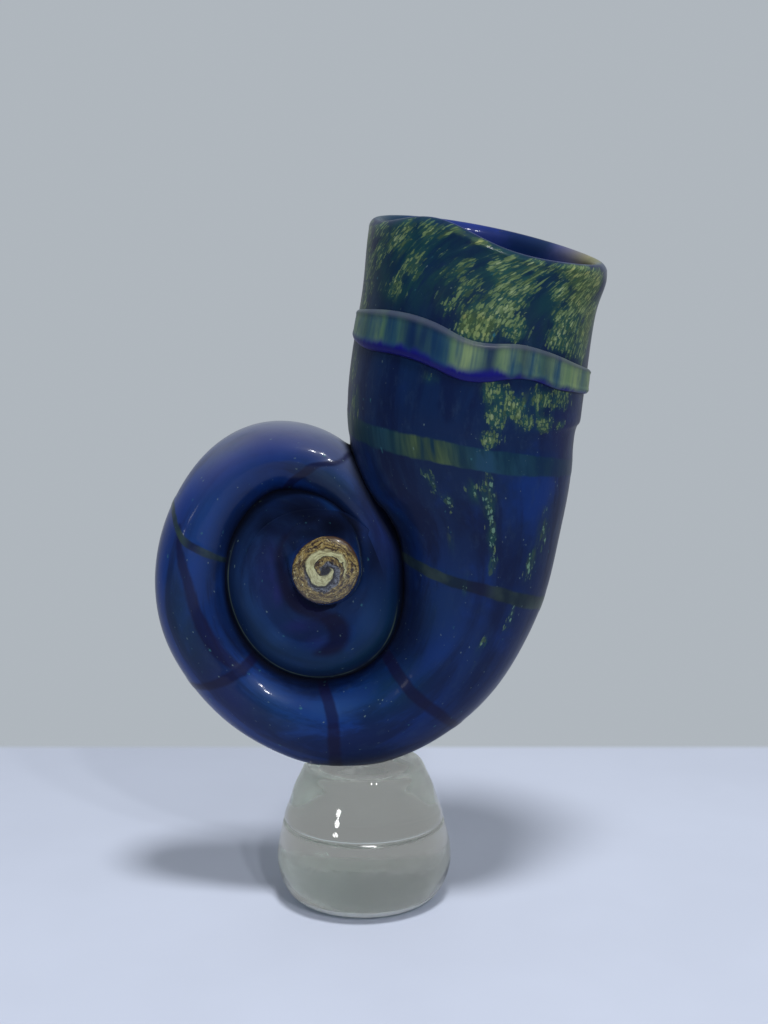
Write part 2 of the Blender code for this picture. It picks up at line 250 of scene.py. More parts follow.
# Dark glass, and painted shade: on the top of the inner whorl under the outer one, and beside the grooves.
DARK_PATCHES = (
    (702, 30, 22, 12, 0.9), (722, 52, 14, 9, 0.75), (684, 14, 20, 7, 0.8), (380, 145, 26, 7, 0.6),
    (330, 158, 30, 7, 0.7), (446, 140, 30, 6, 0.55), (560, 140, 30, 6, 0.6), (232, 140, 22, 10, 0.45),
    (640, 28, 40, 6, 0.55), (600, 24, 30, 5, 0.5), (740, 120, 8, 12, 0.45), (30, 270, 60, 30, 0.2),
)
BRIGHT_PATCHES = (
    (456, 36, 26, 10, 0.9), (520, 30, 24, 10, 0.5), (408, 38, 30, 8, 0.95), (380, 50, 24, 7, 0.6),
    (300, 84, 34, 10, 0.8), (345, 62, 26, 8, 0.65), (262, 92, 26, 12, 0.55), (474, 62, 14, 8, 0.9),
    (424, 92, 16, 6, 0.6), (446, 100, 20, 6, 0.55), (225, 105, 24, 12, 0.45), (520, 46, 8, 5, 0.8),
    (180, 130, 26, 10, 0.35), (640, 110, 30, 6, 0.35), (310, 290, 50, 14, 0.6), (430, 270, 40, 10, 0.5),
    (150, 280, 40, 24, 0.35),
)
# Painted sheen: pale lilac along the top of the outer coil, in place of the pale surroundings mirrored there.
LILAC_PATCHES = (
    (500, 2, 42, 15, 0.95), (480, 24, 22, 13, 0.6), (516, 20, 26, 13, 0.55), (398, 0, 34, 9, 0.5),
    (446, 0, 24, 6, 0.4),
)
# Lighter glass, and painted sheen: along the top of the outer coil and on lit crests.
LIGHT_PATCHES = (
    (14, 6, 11, 8, 0.95), (26, 2, 10, 6, 0.6), (512, 6, 34, 9, 1), (505, 34, 20, 9, 0.95),
    (478, 40, 14, 7, 0.7), (525, 44, 12, 6, 0.6), (690, 80, 34, 9, 0.75), (338, 112, 18, 7, 0.9),
    (296, 118, 22, 7, 0.75), (320, 96, 26, 9, 0.55), (540, 86, 26, 7, 0.5), (452, 86, 30, 8, 0.55),
    (410, 70, 26, 7, 0.4), (192, 112, 26, 12, 0.35), (215, 90, 26, 14, 0.25),
)
PATCHES = {
    "fleck": FLECK_CLUSTERS,
    "golden": GOLDEN_PATCHES,
    "teal_glass": TEAL_PATCHES,
    "violet_glass": VIOLET_PATCHES,
    "dark_glass_and_shade": DARK_PATCHES,
    "bright_glass": BRIGHT_PATCHES,
    "lilac_sheen": LILAC_PATCHES,
    "light_glass_and_sheen": LIGHT_PATCHES,
}
OUTSIDE_ONLY = ("fleck", "lilac_sheen")

# The same round the eye, where the glass is one sheet: x and z of the middle, half sizes, strength.
# Dark glass and painted shade, most of all above the eye under the outer whorl.
EYE_DARKS = (
    (-30, 206, 22, 10, 1), (-14, 198, 14, 12, 1), (-48, 200, 10, 9, 0.8), (-24, 195, 14, 5, 0.8),
    (6, 186, 8, 15, 0.7), (-34, 190, 6, 6, 0.45), (-33, 163, 3.5, 5, 0.6),
)
# Painted highlight on the lit crests of the inner whorl, left of and below the eye.
EYE_LIGHTS = (
    (-50, 173, 6.5, 21, 1), (-34.5, 149, 7, 6, 0.85), (-19, 141, 6, 4, 0.55), (-44, 142, 8, 7, 0.65),
    (2, 150, 7, 10, 0.35),
)
EYE_VIOLETS = (
    (-45, 178, 3, 12, 0.9), (-43, 164, 3.5, 9, 0.8), (-33, 147, 9, 3.5, 0.6), (-22, 138, 7, 3.5, 0.5),
)
EYE_PATCHES = {"dark_glass_and_shade": EYE_DARKS, "light_glass_and_sheen": EYE_LIGHTS, "violet_glass": EYE_VIOLETS}

# The dark curl under the eye: x, z and half width; and how softly it ends.
EYE_CURL = (
    (-38, 193.5, 1), (-41.5, 184.5, 1.8), (-41, 176, 2.6), (-38.4, 167, 3.4), (-34.4, 160, 4),
    (-28.6, 155.4, 3.6), (-21.4, 152.6, 3.4), (-15.2, 149.2, 4.6), (-12.2, 143.8, 5.6), (-13.4, 138, 4.6),
    (-18.4, 134.2, 3), (-24, 132.6, 0.8),
)
CURL_SOFTNESS = 2.2

# Where the horn belongs to the sheet round the eye: beyond this s, on the side facing the viewer.
INNER_WHORL = 590
FACING_SLOPE = 2
FACING_START = 0.8

# Sides of the horn, by field: angle in degrees and spread. The band is the trail under the mouth.
SIDES = {
    "band_fade": (30, 34),
    "olive_dusk": (90, 12),
    "throat_dark": (190, 52),
    "throat_tan": (352, 30),
}

# Where the band glows or turns watery blue: angle in degrees, spread and strength.
TRAIL_GLOW = ((110, 13, 1), (158, 14, 0.4), (255, 40, 0.7))
TRAIL_WATER = ((84, 10, 1), (138, 10, 0.6), (66, 8, 0.6), (320, 30, 0.6))

# How far fleck grains lean towards the right near the mouth, in degrees, where the lean ends, and the
# radius that it is reckoned for.
GRAIN_LEAN = 42
GRAIN_LEAN_END = 75
GRAIN_GIRTH = 54

# Ribbon below the mouth: angle, s of its upper edge, of its dark blue hem and of its lower edge.
RIBBON_EDGES = (
    (0, 69, 82.5, 83.5), (15, 68.2, 82, 83.3), (33, 66.6, 80.8, 82.4), (48, 64, 79.5, 81.4),
    (62, 62, 76.8, 78.6), (72, 61.4, 76.8, 79.2), (84, 62.9, 75.6, 82.2), (97, 62.2, 77.2, 82.6),
    (108, 58.4, 74.6, 79.4), (120, 55.6, 71.4, 76.8), (135, 54.6, 70.6, 75.8), (150, 55.2, 71.2, 75.6),
    (175, 56.6, 69, 72), (215, 58, 70, 74), (270, 63, 76, 80), (320, 68, 81, 84),
)
RIBBON_HEIGHT = 1.5
RIBBON_FLATNESS = 3.0
RIBBON_BLUNTNESS = 0.6
RIBBON_ROOT = 0.8
RIBBON_STEPS = 22
# Its two rolls: height, place across and spread. Its waves: height, how many go round, start. Its
# underside: places across of the two points there.
RIBBON_ROLLS = ((0.55, 0.13, 0.07), (0.45, 0.84, 0.1))
RIBBON_WAVES = ((0.18, 3, 1), (0.12, 7, 0))
RIBBON_UNDERSIDE = (0.66, 0.33)

# Where the ribbon glows or turns watery blue: angle in degrees, spread and strength.
RIBBON_GLOW = (
    (94, 6, 1), (76, 5, 0.6), (64, 4, 0.45), (47, 7, 0.7), (33, 7, 0.9), (15, 9, 0.8), (166, 8, 0.55),
    (144, 4, 0.3), (235, 26, 0.75), (300, 30, 0.65),
)
RIBBON_WATER = (
    (118, 12, 1), (84, 3.5, 0.9), (69, 3, 0.8), (56, 4, 0.6), (133, 5, 0.5), (153, 4, 0.4), (200, 16, 0.8),
    (268, 12, 0.8), (340, 10, 0.6),
)

# Eye of the coil: its dome, the rings behind it as share of the radius and depth, and how far it is
# out of round, as share of the radius, angle in degrees and spread.
EYE_RIM = 1.6
EYE_CROWN = 3.2
EYE_RINGS = 40
EYE_AROUND = 120
EYE_START = 0.02
EYE_BACK = ((1, 0.6 * EYE_RIM), (0.985, 0.2), (0.9, 0), (0.3, 0))
EYE_BULGES = ((0.05, 60, 32), (0.02, 245, 30), (-0.045, 140, 38), (-0.035, 322, 34))

# Foot: outer profile from the shoulder down to the base, as radius and height.
FOOT_PROFILE = (
    (12, 72.7), (20, 72.6), (25, 72.3), (28.4, 71.6), (30.3, 70.1), (31.6, 67.9), (33.1, 64.6), (36.2, 58),
    (39, 49.6), (41.2, 43.6), (42.4, 38.2), (43.9, 32), (45.4, 22), (44.6, 14), (42, 7), (38.4, 2.2),
    (36, 0.7), (34, 0),
)
FOOT_AROUND = 160
FOOT_FINE = 14
FOOT_WAVE = 0.22
FOOT_WAVE_START = 12
FOOT_TWIST = 0.09
# The lap of the second gather, which fades out towards the back, and the top of the ground base.
LAP_HEIGHT = 41
LAP_LEDGE = 1.2
LAP_SPREAD = 0.9
LAP_START = 0.5
LAP_SLOPE = 2
GROUND_BASE = 5
# Its glass from the top down: name, roughness from and to, clouds a metre, clearness.
FOOT_GLASS = (
    ("clear_glass", 0, 0.03, 38),
    ("lower_gather", 0.08, 0.2, 60),
    ("ground_base", 0.55, 0.75, 160, 0.6),
)

# Forms of flecks: cells a metre, stretch along their run, least size, how many of them stay.
THREADS = (700, 0.13, 0.26, 0.5)
FAINT_FLECKS = (420, 0.45, 0.42, 1.1)
SMALL_FLECKS = (900, 0.42, 0.42, 1)
BOLD_FLECKS = (620, 0.5, 0.36, 0.85)
STRAY_SPECKS = (420, 0.6, 0.06, 1)
STRAY_DUST = (780, 0.6, 0.09, 1)
# How densely specks and dust stray, and the bending of every fleck: waves a metre and metres.
STRAYS = 0.08
FLECK_WOBBLE = 900
FLECK_BEND = (0.0022, 0.0012, 0.0012)

# Surface: how strongly satin glass mirrors, against plain glass at 0.5; the frosted look at a low
# angle; the bending of light; and the height of bumps in metres.
SATIN = 0.12
FROST = 0.05
GLASS_IOR = 1.5
BUMP_DEPTH = 0.0008

# Colours, as linear red, green and blue.
MOUTH_BLUE = (0.005, 0.022, 0.06)
MOUTH_DARK = (0.005, 0.005, 0.018)
NECK_BLUE = (0.0042, 0.018, 0.07)
BODY_BLUE = (0.003, 0.015, 0.076)
COIL_BLUE = (0.0036, 0.024, 0.128)
INNER_BLUE = (0.0036, 0.021, 0.084)
DEEP_BLUE = (0.0022, 0.0085, 0.046)
BRIGHT_BLUE = (0.004, 0.04, 0.25)
THROAT_BLUE = (0.016, 0.03, 0.2)
TEAL = (0.003, 0.03, 0.06)
SEA_GREEN = (0.01, 0.056, 0.056)
VIOLET = (0.017, 0.019, 0.13)
DARK_VIOLET = (0.0042, 0.0036, 0.027)
CURL_VIOLET = (0.003, 0.0032, 0.024)
MIST = (0.022, 0.05, 0.108)
# Steel blue over the light patches: lighter glass, and painted sheen.
STEEL = (0.018, 0.062, 0.2)
# Lilac grey of the painted sheen on the coil's top.
LILAC = (0.17, 0.19, 0.245)
# Near black: painted shade in the grooves, deep in the bore and under the ribbon, and dark glass in the dark
# patches.
CREASE = (0.001, 0.002, 0.008)
OLIVE = (0.052, 0.09, 0.04)
DARK_OLIVE = (0.006, 0.017, 0.026)
PALE_OLIVE = (0.032, 0.056, 0.046)
DASH_GREEN = (0.17, 0.33, 0.25)
# Painted glint along the groove of the innermost whorl.
GLINT_GREEN = (0.11, 0.16, 0.115)
SPECK_PALE = (0.14, 0.22, 0.22)
SPECK_TEAL = (0.03, 0.13, 0.17)
YELLOW_GREEN = (0.17, 0.25, 0.105)
CREAM = (0.37, 0.45, 0.24)
YELLOW_CREAM = (0.36, 0.38, 0.14)
HAZE_GREEN = (0.056, 0.096, 0.04)
HAZE_TEAL = (0.019, 0.07, 0.066)
TAN = (0.2, 0.19, 0.1)
HEM_BLUE = (0.006, 0.007, 0.15)
RIBBON_TEAL = (0.013, 0.06, 0.12)
RIBBON_GREEN = (0.06, 0.145, 0.095)
RIBBON_LIGHT = (0.25, 0.34, 0.15)
# Pale lilac: painted sheen on the ribbon's upper ridge, and over the light patches by the lip.
RIBBON_LILAC = (0.052, 0.06, 0.095)
EYE_GOLD = (0.3, 0.22, 0.07)
EYE_BROWN = (0.052, 0.028, 0.015)
EYE_CREAM = (0.52, 0.52, 0.3)
EYE_TAN = (0.26, 0.24, 0.12)
EYE_GREY = (0.14, 0.155, 0.19)
EYE_DARK = (0.008, 0.008, 0.014)
CLEAR = (0.97, 0.98, 0.98)
CLEAR_DEPTH = (0.8, 0.86, 0.84)

# Stage: the floor, the pale surroundings, the lamps and the camera. Seen through the clear foot, the
# floor and the surroundings are a middle grey, as in a room.
FLOOR_HALF = 1.2
FLOOR_DROP = 0.0004
SHELF_BACK = 0.24
SHELF_HALF = 0.36
SHELF_EDGE = 0.012
FLOOR_WORN = 0.96
FLOOR_COLOUR = (0.57, 0.62, 0.75)
WALL_COLOUR = (0.43, 0.47, 0.51)
SEEN_THROUGH = (0.275, 0.28, 0.27)
FLOOR_THROUGH = (0.285, 0.29, 0.29)
DARK_ROOM = (0.11, 0.12, 0.14)
CEILING = (0.3, 0.31, 0.31)
CAMERA_PLACE = (0.0105, -0.705, 0.3037)
CAMERA_TILT = 8.2
CAMERA_LENS = 49.22
CAMERA_SENSOR = 36
# Lamps: name, place, what it shines at, size, spread in degrees, power, whether its glints show.
LAMPS = (
    ("overhead", (0.14, -0.42, 1.8), (0, 0, 0.1), (0.34, 0.34), 180, 22, False),
    ("spot_a", (0.448, -1.38, 1.18), (0, 0, 0.18), (0.1, 0.085), 180, 5, True),
    ("spot_b", (0.659, -1.293, 1.18), (0, 0, 0.18), (0.085, 0.085), 180, 4.2, True),
    ("window", (-0.62, -0.78, 0.3), (0, 0, 0.055), (0.14, 0.12), 18, 0.009, True),
)


def smooth_step(value):
    value = np.clip(value, 0.0, 1.0)
    return value * value * (3.0 - 2.0 * value)


def turn_between(angle, degrees):
    """The angle from a direction given in degrees, from minus to plus half a turn."""
    return (angle - math.radians(degrees) + math.pi) % (2.0 * math.pi) - math.pi


def hump(angle, middle, spread):
    """1 at the middle angle, falling to 0 to each side. Middle and spread are in degrees."""
    return np.exp(-((turn_between(angle, middle) / math.radians(spread)) ** 2))


def unit(vectors):
    return vectors / np.linalg.norm(vectors, axis=-1, keepdims=True)


def natural_spline(knots, values, places):
    """The natural cubic spline through values at knots, read at places."""
    step = np.diff(knots)
    count = len(knots)
    matrix = np.eye(count)
    right = np.zeros((count, values.shape[1]))
    slope = np.diff(values, axis=0) / step[:, None]
    for i in range(1, count - 1):
        matrix[i, i - 1 : i + 2] = step[i - 1], 2.0 * (step[i - 1] + step[i]), step[i]
        right[i] = 6.0 * (slope[i] - slope[i - 1])
    bend = np.linalg.solve(matrix, right)
    left = np.clip(np.searchsorted(knots, places, side="right") - 1, 0, count - 2)
    wide = step[left][:, None]
    after = (places - knots[left])[:, None]
    before = wide - after
    curve = (bend[left] * before**3 + bend[left + 1] * after**3) / (6.0 * wide)
    curve += (values[left] / wide - bend[left] * wide / 6.0) * before
    curve += (values[left + 1] / wide - bend[left + 1] * wide / 6.0) * after
    return curve


def fine_path(path, pieces):
    """A path given by a few points, read smoothly at this many places for each of them."""
    knots = np.arange(len(path), dtype=float)
    return natural_spline(knots, np.array(path), np.linspace(0.0, knots[-1], pieces * len(path)))


def round_table(rows, angle):
    """A table whose first column is an angle in degrees, read smoothly and all the way round."""
    table = np.array(rows, dtype=float)
    turns = [table + np.array([turn, *[0.0] * (table.shape[1] - 1)]) for turn in (-360.0, 0.0, 360.0)]
    wide = np.concatenate(turns)
    places = np.degrees(np.asarray(angle)).ravel() % 360.0
    read = natural_spline(wide[:, 0], wide[:, 1:], places)
    return [column.reshape(np.shape(angle)) for column in read.T]


def distances_along(points):
    """How far along a line of points each one lies."""
    return np.concatenate([[0.0], np.cumsum(np.linalg.norm(np.diff(points, axis=0), axis=1))])


def ring_angles(count):
    return np.arange(count) * (2.0 * math.pi / count)


class Horn:
    """The horn's centre line with its widths and, at each place, its outward and front directions."""

    def __init__(self):
        table = np.array(STATIONS)
        knots = distances_along(table[:, :3])
        self.s = np.linspace(0.0, knots[-1], int(knots[-1] / FINE_STEP) + 1)
        read = natural_spline(knots, table, self.s)
        self.centre = read[:, :3]
        self.width = read[:, 3]
        self.depth = read[:, 4]
        self.length = knots[-1]
        self.outward, self.front = self.ring_directions()

    def ring_directions(self):
        """Rings stand square to the centre line, but the last ones turn to face the viewer."""
        along = unit(np.gradient(self.centre, axis=0))
        share = smooth_step((self.s - self.length + TIP_TURN) / TIP_TURN)[:, None]
        along = unit(along * (1.0 - share) + np.array([0.0, -1.0, 0.0]) * share)
        outward = np.empty_like(along)
        now = np.array([1.0, 0.0, 0.0])
        for i, direction in enumerate(along):
            now = unit(now - direction * now.dot(direction))
            outward[i] = now
        return outward, np.cross(along, outward)

    def at(self, values, s):
        if values.ndim == 1:
            return np.interp(s, self.s, values)
        return np.stack([np.interp(s, self.s, column) for column in values.T], axis=-1)

    def girth(self, s):
        """The horn's mean radius at s, which turns an angle into a length round it."""
        return 0.5 * (self.at(self.width, s) + self.at(self.depth, s))

    def unrolled(self, s, angle):
        """The horn laid out straight along the first axis, in metres."""
        girth = self.girth(s)
        return np.stack([s, girth * np.cos(angle), girth * np.sin(angle)], axis=-1) * MM

    def surface(self, s, angle, inset=0.0):
        """Points on the horn's outside, or inset below it, at s and angle."""
        across = (self.at(self.width, s) - inset + roll_out(s, angle)) * np.cos(angle)
        deep = (self.at(self.depth, s) - inset) * np.sin(angle)
        side = self.at(self.outward, s) * across[..., None] + self.at(self.front, s) * deep[..., None]
        return self.at(self.centre, s) + side


def rim_place(angle):
    """s of the rim's crest: low at the back, and sagging at the front right."""
    tilt = RIM_TILT * np.cos(angle - math.radians(RIM_TILT_ANGLE))
    sag = RIM_SAG * hump(angle, RIM_SAG_ANGLE, RIM_SAG_SPREAD)
    fold = RIM_FOLD * hump(angle, RIM_FOLD_ANGLE, RIM_FOLD_SPREAD)
    return RIM_LEVEL - tilt + sag - fold


def below_rim(s, angle):
    """The real s of a ring that would lie at s if the rim were level."""
    return s + rim_place(angle) * np.clip(1.0 - s / RIM_FADE, 0.0, 1.0)


def roll_out(s, angle):
    """The lip's right-hand corner rolls outward a little."""
    near = np.exp(-(((s - rim_place(angle) - ROLL_DEPTH) / ROLL_LENGTH) ** 2))
    return ROLL_OUT * near * hump(angle, 0.0, ROLL_SPREAD)


def spaced(start, end, gap):
    """Values from start to end, spaced by what gap says at each."""
    found = [start]
    while found[-1] < end:
        found.append(found[-1] + gap(found[-1]))
    return start + (np.array(found) - start) * (end - start) / (found[-1] - start)


def lip_rings():
    """Rings over the lip's rounded crest, as level and inset."""
    turns = [math.pi * i / (LIP_RINGS + 1) for i in range(1, LIP_RINGS + 1)]
    half = 0.5 * LIP_THICKNESS
    return [(LIP_HEIGHT * (1.0 - math.sin(turn)), half * (1.0 - math.cos(turn))) for turn in turns]


def bore_rings(horn):
    """Rings down the bore, where the lip thins to the wall, and over the bowl at its end."""
    rings = []
    for s in spaced(LIP_HEIGHT, CAVITY_END, lambda s: CAVITY_GAP):
        thicker = (LIP_THICKNESS - WALL) * (1.0 - smooth_step((s - LIP_HEIGHT) / LIP_BLEND))
        rings.append((s, WALL + thicker))
    radius = float(horn.at(horn.width, CAVITY_END)) - WALL
    for turn in np.radians(CAVITY_END_TURNS):
        rings.append((CAVITY_END + radius * math.sin(turn), WALL + radius * (1.0 - math.cos(turn))))
    return rings


class Rows:
    """Rings of points on the horn: tip to lip outside, and down the bore, each with level and inset."""

    def __init__(self, horn):
        self.horn = horn
        outer = spaced(LIP_HEIGHT, horn.length, lambda s: RING_GAP + RING_GROWTH * horn.at(horn.width, s))
        self.outer_count = len(outer)
        rings = np.array([(s, 0.0) for s in outer[::-1]] + lip_rings() + bore_rings(horn))
        self.level, self.angles = np.meshgrid(rings[:, 0], ring_angles(AROUND), indexing="ij")
        self.inset = np.repeat(rings[:, 1:], AROUND, axis=1)
        self.s = below_rim(self.level, self.angles)
        self.girth = horn.girth(self.s)
        self.points = horn.surface(self.s, self.angles, self.inset)

    def outside(self):
        """1 on the outside, fading to 0 over the lip's crest."""
        return np.clip(1.0 - self.inset / (0.5 * LIP_THICKNESS), 0.0, 1.0)


def outward_normals(points):
    along = np.gradient(points, axis=0)
    around = np.roll(points, -1, axis=1) - np.roll(points, 1, axis=1)
    return unit(np.cross(along, around))


def distance_to_whorls(horn, points, s):
    """About how far points lie outside the horn's other whorls."""
    nearest = np.full(len(points), FAR)
    for i in range(0, len(horn.s), 2):
        away = points - horn.centre[i]
        across = away @ horn.outward[i]
        deep = away @ horn.front[i]
        reach = np.linalg.norm(away, axis=-1)
        shape = np.sqrt((across / horn.width[i]) ** 2 + (deep / horn.depth[i]) ** 2)
        skin = reach - np.hypot(across, deep) / np.maximum(shape, 1e-6)
        others = np.abs(s - horn.s[i]) > OWN_STRETCH
        nearest = np.where(others & (skin < nearest), skin, nearest)
    return nearest


def blend_push(distance, blend):
    """How far a surface swells where another comes near, so that the two meet softly."""
    share = np.clip(1.0 - np.abs(distance) / blend, 0.0, 1.0)
    return 0.25 * blend * share**2


def patches(rows, table):
    """The strongest of several soft round patches at each point of the horn."""
    total = np.zeros(rows.s.shape)
    for s, degrees, along, around, strength in table:
        aside = turn_between(rows.angles, degrees) * rows.girth / around
        far = ((rows.level - s) / along) ** 2 + aside**2
        total = np.maximum(total, strength * np.exp(-far))
    return total


def flat_patches(points, table):
    """The strongest of several soft round patches laid over the face of the coil."""
    total = np.zeros(points.shape[:-1])
    for x, z, wide, tall, strength in table:
        far = ((points[..., 0] - x) / wide) ** 2 + ((points[..., 2] - z) / tall) ** 2
        total = np.maximum(total, strength * np.exp(-far))
    return total


def curl_distance(points):
    """How far points lie outside the dark curl that winds round under the eye."""
    nearest = np.full(points.shape[:-1], FAR)
    for x, z, half in fine_path(EYE_CURL, CURL_PIECES):
        nearest = np.minimum(nearest, np.hypot(points[..., 0] - x, points[..., 2] - z) - half)
    return nearest


def paint_eye_side(fields, points, share):
    """The patches and the curl round the eye, laid over what the horn's own fields say."""
    for name, table in EYE_PATCHES.items():
        fields[name] = np.maximum(fields[name], share * flat_patches(points, table))
    within = 1.0 - smooth_step((curl_distance(points) + CURL_SOFTNESS) / (2.0 * CURL_SOFTNESS))
    fields["curl"] = share * within


def trail_distance(rows, table):
    """How far each point lies outside a trail that goes round the horn; negative is within it."""
    middle, half = round_table(table, rows.angles)
    return np.abs(rows.s - middle) - half


def streak_distance(rows, path):
    """How far each point lies outside a streak drawn along the horn."""
    nearest = np.full(rows.s.shape, FAR)
    for s, degrees, half in fine_path(path, STREAK_PIECES):
        far = np.hypot(rows.s - s, turn_between(rows.angles, degrees) * rows.girth) - half
        nearest = np.minimum(nearest, far)
    return nearest


def nearest_of(measure, rows, tables):
    return np.minimum.reduce([measure(rows, table) for table in tables])


def leaning_run(rows):
    """The horn laid out straight and twisted near the mouth, so that the flecks lean there."""
    levels = np.arange(0.0, GRAIN_LEAN_END + 1.0)
    lean = np.tan(math.radians(GRAIN_LEAN) * (1.0 - smooth_step(levels / GRAIN_LEAN_END)))
    twist = np.cumsum(lean[::-1])[::-1] / GRAIN_GIRTH
    twisted = rows.angles + np.interp(rows.level, levels, twist, right=0.0)
    return rows.horn.unrolled(rows.s, twisted)


def glow(angle, table):
    """The strongest of several soft patches round the horn."""
    return np.maximum.reduce([strength * hump(angle, middle, spread) for middle, spread, strength in table])


def ripple(rows):
    """Slow unevenness of hand-worked glass, from a few waves of unlike length."""
    total = 0.0
    for share, run, count, start in RIPPLES:
        total = total + share * np.sin(rows.s / run + count * rows.angles + start)
    return total


def new_mesh_object(name, points, faces, materials, fields=None):
    """A piece from points in millimetres, with the fields that its materials read."""
    mesh = bpy.data.meshes.new(name)
    mesh.from_pydata((np.asarray(points) * MM).tolist(), [], faces)
    shape = bmesh.new()
    shape.from_mesh(mesh)
    bmesh.ops.recalc_face_normals(shape, faces=shape.faces)
    shape.to_mesh(mesh)
    shape.free()
    mesh.shade_smooth()
    for key, values in (fields or {}).items():
        kind = "FLOAT" if values.ndim == 1 else "FLOAT_VECTOR"
        made = mesh.attributes.new(key, kind, "POINT")
        made.data.foreach_set("value" if kind == "FLOAT" else "vector", values.astype(np.float32).ravel())
    for material in materials:
        mesh.materials.append(material)
    piece = bpy.data.objects.new(name, mesh)
    bpy.context.scene.collection.objects.link(piece)
    return piece


def grid_faces(rings, around):
    """Quads between rings of points, with a fan to a pole at each end. The poles come after the rings."""
    faces = []
    for ring in range(rings - 1):
        low, high = ring * around, (ring + 1) * around
        for i in range(around):
            j = (i + 1) % around
            faces.append((low + i, low + j, high + j, high + i))
    first, last, top = rings * around, rings * around + 1, (rings - 1) * around
    for i in range(around):
        j = (i + 1) % around
        faces.append((j, i, first))
        faces.append((top + i, top + j, last))
    return faces


def with_poles(values):
    """The flattened rows with the mean of the first and of the last row added as poles."""
    flat = values.reshape(-1, *values.shape[2:])
    return np.concatenate([flat, values[0].mean(axis=0)[None], values[-1].mean(axis=0)[None]])


def weld_whorls(rows):
    """Swells the outside where whorls meet, adds its relief, and says how deep in a groove it lies, for
    painted shade.
    """
    horn = rows.horn
    outer = slice(0, rows.outer_count)
    points = rows.points[outer]
    normals = outward_normals(points)
    centre = horn.at(horn.centre, rows.s[outer])
    normals *= np.sign(np.sum((points - centre) * normals, axis=-1, keepdims=True))
    apart = distance_to_whorls(horn, points.reshape(-1, 3), rows.s[outer].ravel()).reshape(points.shape[:2])
    every_trail = VIOLET_TRAILS + (OLIVE_TRAIL, COIL_TRAIL, MOUTH_TRAIL)
    trails = nearest_of(trail_distance, rows, every_trail)[outer]
    raised = TRAIL_HEIGHT * smooth_step(1.0 - trails / TRAIL_EDGE)
    relief = RIPPLE_HEIGHT * ripple(rows)[outer] + raised - SETTLE
    calm = smooth_step((horn.length - rows.s[outer]) / CALM_TIP)
    rows.points[outer] += normals * (blend_push(apart, GROOVE_BLEND) + relief * calm)[..., None]
    # How deep in a groove each point lies, which the material paints as shade.
    crease = np.zeros(rows.s.shape)
    crease[outer] = 1.0 - smooth_step(apart / GROOVE_SHADE)
    return crease


def horn_fields(rows, crease):
    """What the horn's material reads at each point, by name."""
    fields = {name: patches(rows, table) for name, table in PATCHES.items()}
    for name in OUTSIDE_ONLY:
        fields[name] = fields[name] * rows.outside()
    for name, side in SIDES.items():
        fields[name] = hump(rows.angles, *side)
    violet = nearest_of(trail_distance, rows, VIOLET_TRAILS)
    fields["violet"] = np.minimum(violet, nearest_of(streak_distance, rows, VIOLET_STREAKS))
    fields["tan"] = nearest_of(streak_distance, rows, TAN_STREAKS)
    fields["olive"] = nearest_of(trail_distance, rows, (OLIVE_TRAIL, COIL_TRAIL))
    fields["band"] = trail_distance(rows, MOUTH_TRAIL)
    fields["band_glow"] = glow(rows.angles, TRAIL_GLOW)
    fields["band_water"] = glow(rows.angles, TRAIL_WATER)
    fields["run"] = leaning_run(rows)
    fields["flow"] = rows.horn.unrolled(rows.s, rows.angles)
    fields["level"] = rows.level
    fields["inside"] = 1.0 - rows.outside()
    fields["crease"] = crease
    return {name: with_poles(values) for name, values in fields.items()}


def make_horn(horn):
    """The horn's whole skin, outside and in, and the heart of its coil."""
    rows = Rows(horn)
    fields = horn_fields(rows, weld_whorls(rows))
    faces = grid_faces(*rows.s.shape)
    points = with_poles(rows.points)
    facing = smooth_step(FACING_SLOPE * np.sin(rows.angles) + FACING_START)
    front = (rows.s > INNER_WHORL) * rows.outside() * facing
    paint_eye_side(fields, points, with_poles(front))
    glass = horn_glass()
    piece = new_mesh_object("horn", points, faces, [glass], fields)
    return piece, make_heart(points, faces, fields, glass)


